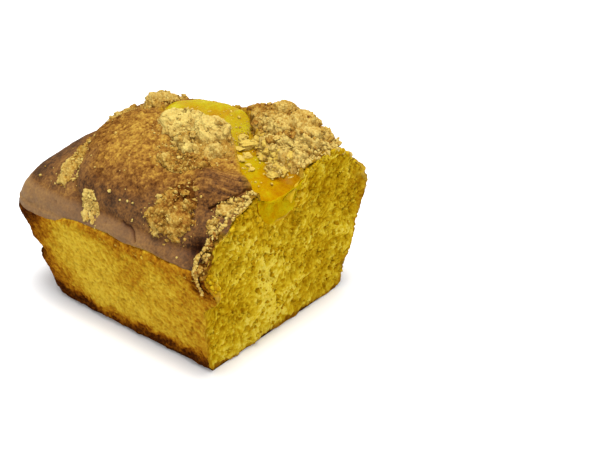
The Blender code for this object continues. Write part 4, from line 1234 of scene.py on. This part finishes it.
def make_curd_crumbs(finish):
    """Lumps of crumble that sank into the curd."""
    draw = np.random.default_rng(31)
    spots = np.array([(26.2, 8.5, 2.4), (31.4, 6.6, 3.4), (29.2, 1.6, 2.4), (36.1, -5.3, 2.2), (41.6, -5.1, 1.6),
                      (43.9, -5.9, 1.4), (29.4, 5.0, 3.2), (34.5, 1.0, 2.6), (52.6, -2.4, 2.8), (49.2, -1.0, 2.4)])
    x, y, radii = spots.T
    across, _ = split_share(x, y)
    sunk, _, _ = curd_top(x, np.clip(across, -1.0, 1.0), plan(x, y))
    centres = over_crust(x, y, -sunk + radii * 0.12)
    tones = draw.normal(-0.1, 0.06, len(x))
    parts = [lumps(centres, radii, 801, 25, 36, 0.45, tones, 0.5)]
    x = draw.uniform(33.0, CUT_X - 2.5, 56)
    bank = draw.uniform(0.8, 1.4, 56)
    y = split_line(x) + curd_half_width(x) * bank
    radii = 0.7 + 2.1 * draw.uniform(0.0, 1.0, 56) ** 1.8
    lift = radii * 0.2 - np.minimum(curd_drop(x, y), 3.0) + 2.6 * step(bank, 1.05, 1.4)
    parts.append(lumps(over_crust(x, y, lift), radii, 803, 14, 20, 0.7, draw.normal(0.1, 0.1, 56), 0.3))
    x = draw.uniform(-12.0, CUT_X - 2.0, 60)
    y = split_line(x) + curd_half_width(x) * draw.uniform(-0.9, 0.9, 60)
    radii = 0.3 + 0.7 * draw.uniform(0.0, 1.0, 60) ** 2.0
    across, _ = split_share(x, y)
    sunk, _, _ = curd_top(x, np.clip(across, -1.0, 1.0), plan(x, y))
    parts.append(lumps(over_crust(x, y, -sunk), radii, 802, 4, 7, 0.0, draw.normal(0.1, 0.1, 60)))
    points, faces, traits = gather(parts)
    # The crumbs in the curd take only half the painted shade of the others.
    traits["soaked"], traits["deep"] = 0.4, 0.5 + 0.5 * traits["deep"]
    return make_piece("curd_crumbs", points, faces, traits, finish, "crumble", "lemon_curd")


def make_flake(finish):
    """The torn strip of pale crust along the near edge of the cut: a ragged band carried down a curve."""
    heights = np.array([73.0, 71.2, 69.0, 66.5, 64.0, 61.0, 58.0, 55.4, 51.5, 47.5])
    wide_y = np.array([-39.5, -42.0, -45.1, -47.4, -50.0, -52.9, -54.9, -56.3, -57.0, -56.4])
    line = np.stack([flake_line_x(heights) + 0.5, wide_y, heights + 0.6], axis=-1)
    stations, around = 150, 22
    run = np.linspace(0.0, len(line) - 1.0, stations)
    path = np.stack([np.interp(run, np.arange(len(line)), part) for part in line.T], axis=-1)
    kernel = np.hanning(19) / np.hanning(19).sum()
    padded = np.pad(path, ((9, 9), (0, 0)), mode="edge")
    path = np.stack([np.convolve(part, kernel, mode="valid") for part in padded.T], axis=-1)
    path = path + 0.7 * np.stack([layers(path, 5.0, 110 + n) for n in range(3)], axis=-1)
    along = np.gradient(path, axis=0)
    along = along / np.linalg.norm(along, axis=-1, keepdims=True)
    out = np.cross(along, [1.0, 0.0, 0.0])
    out = out / np.linalg.norm(out, axis=-1, keepdims=True)
    front = np.cross(out, along)
    angle = np.arange(around)[None, :, None] * math.tau / around
    share = np.linspace(0.0, 1.0, stations)[:, None, None]
    taper = np.sqrt(np.clip(1.0 - (2.0 * share - 1.0) ** 8, 0.0, 1.0)) * (1.1 - 0.3 * share)
    taper = taper * (0.9 + 0.7 * layers(path, 3.0, 113))[:, None, None]
    wide, thick = 0.35 * taper, 0.7 * taper
    points = path[:, None] + out[:, None] * np.cos(angle) * wide + front[:, None] * np.sin(angle) * thick
    packed, _ = rubble(points, 1.5, 95)
    push = out[:, None] * np.cos(angle) + front[:, None] * np.sin(angle)
    points = (points + push * ((1.9 * packed - 0.7) * taper[..., 0])[..., None]).reshape(-1, 3)
    everything = np.concatenate([points, [path[0], path[-1]]])
    faces = [grid_faces(stations, around, closed=True), fan(np.arange(around)[::-1], len(points))]
    faces.append(fan(np.arange(len(points) - around, len(points)), len(points) + 1))
    # Painted shade in the gaps between the strip's crumbs.
    depth = np.append(np.clip(1.3 * packed + 0.15, 0.0, 1.0).ravel(), [0.5, 0.5])
    tone = np.append((0.22 + 0.3 * share[..., 0] + 0.0 * packed).ravel(), [0.3, 0.5])
    draw = np.random.default_rng(114)
    count = 80
    spots = path[draw.integers(2, stations - 2, count)] + draw.normal(0.0, 0.45, (count, 3))
    radii = 0.3 + 0.65 * draw.uniform(0.0, 1.0, count) ** 1.5
    crumbs = lumps(spots, radii, 115, 9, 14, 0.3, draw.normal(0.28, 0.12, count))
    points, faces, traits = gather([(everything, faces, tone, depth), crumbs])
    return make_piece("torn_flake", points, faces, traits, finish, "crumble", "loaf")


def make_floor():
    """A plain pale floor."""
    mesh = bpy.data.meshes.new("floor")
    mesh.from_pydata([(-4, -4, -0.0002), (4, -4, -0.0002), (4, 4, -0.0002), (-4, 4, -0.0002)], [], [(0, 1, 2, 3)])
    made = Finish("pale_floor")
    made.feed(made.shader.inputs["Base Color"], (0.9, 0.9, 0.9, 1.0))
    made.feed(made.shader.inputs["Roughness"], 0.9)
    mesh.materials.append(made.material)
    floor = bpy.data.objects.new("floor", mesh)
    bpy.context.scene.collection.objects.link(floor)


def aim(thing, place, target):
    """Put a light or the camera at a place and turn it to a target."""
    toward = np.asarray(target, float) - np.asarray(place, float)
    flat = math.hypot(toward[0], toward[1])
    thing.location = place
    thing.rotation_euler = (math.atan2(flat, -toward[2]), 0.0, math.atan2(toward[1], toward[0]) - math.pi / 2)
    bpy.context.scene.collection.objects.link(thing)


def area_light(name, place, size, power):
    """A soft square light that faces the cake."""
    lamp = bpy.data.lights.new(name, "AREA")
    lamp.size, lamp.energy = size, power
    aim(bpy.data.objects.new(name, lamp), place, (0.0, 0.0, 0.04))


def set_stage():
    """The floor, soft studio light and the camera at the viewing angle of the photograph."""
    make_floor()
    world = bpy.data.worlds.new("studio")
    world.use_nodes = True
    world.node_tree.nodes["Background"].inputs["Color"].default_value = (1.0, 1.0, 1.0, 1.0)
    world.node_tree.nodes["Background"].inputs["Strength"].default_value = 0.78
    bpy.context.scene.world = world
    area_light("key", (0.12, -0.12, 1.26), 0.6, 17.0)
    area_light("fill", (1.0, -0.45, 0.65), 0.8, 5.0)
    bpy.context.scene.view_settings.view_transform = "Standard"
    camera = bpy.data.cameras.new("camera")
    camera.sensor_width = 36.0
    camera.lens = 1110.0 / 600.0 * camera.sensor_width
    turn, lift, distance = math.radians(39.0), math.radians(28.8), 0.530
    target = np.array([33.3, 38.9, 30.0]) * MM + MIDDLE * MM
    back = np.array([math.sin(turn) * math.cos(lift), -math.cos(turn) * math.cos(lift), math.sin(lift)])
    viewer = bpy.data.objects.new("camera", camera)
    aim(viewer, target + back * distance, target)
    bpy.context.scene.camera = viewer


crumble_tint = crumble_finish()
sponge_tint = sponge_finish()
make_walls(sponge_tint)
make_cut(sponge_tint)
make_crust(crust_finish())
make_curd(curd_finish())
make_cut_crumbs(sponge_tint)
make_loose_crumbs(crumble_tint)
make_curd_crumbs(crumble_tint)
make_flake(crumble_tint)
for order, (heap_name, heap_spec) in enumerate(HEAPS.items()):
    make_heap(heap_name.replace("crumble", "heap"), heap_name, heap_spec, 40 + order, crumble_tint)
make_heap("rubble_by_the_split", "crumble_ridge", SPLIT_RUBBLE, 50, crumble_tint)
make_heap("rubble_at_the_cut", "crumble_ridge", EDGE_RUBBLE, 51, crumble_tint)
make_heap("rubble_along_the_crest", "crumble_crest", CREST_RUBBLE, 52, crumble_tint)
make_heap("rubble_on_the_shoulder", "crumble_cut_edge", SHOULDER_RUBBLE, 53, crumble_tint)
set_stage()
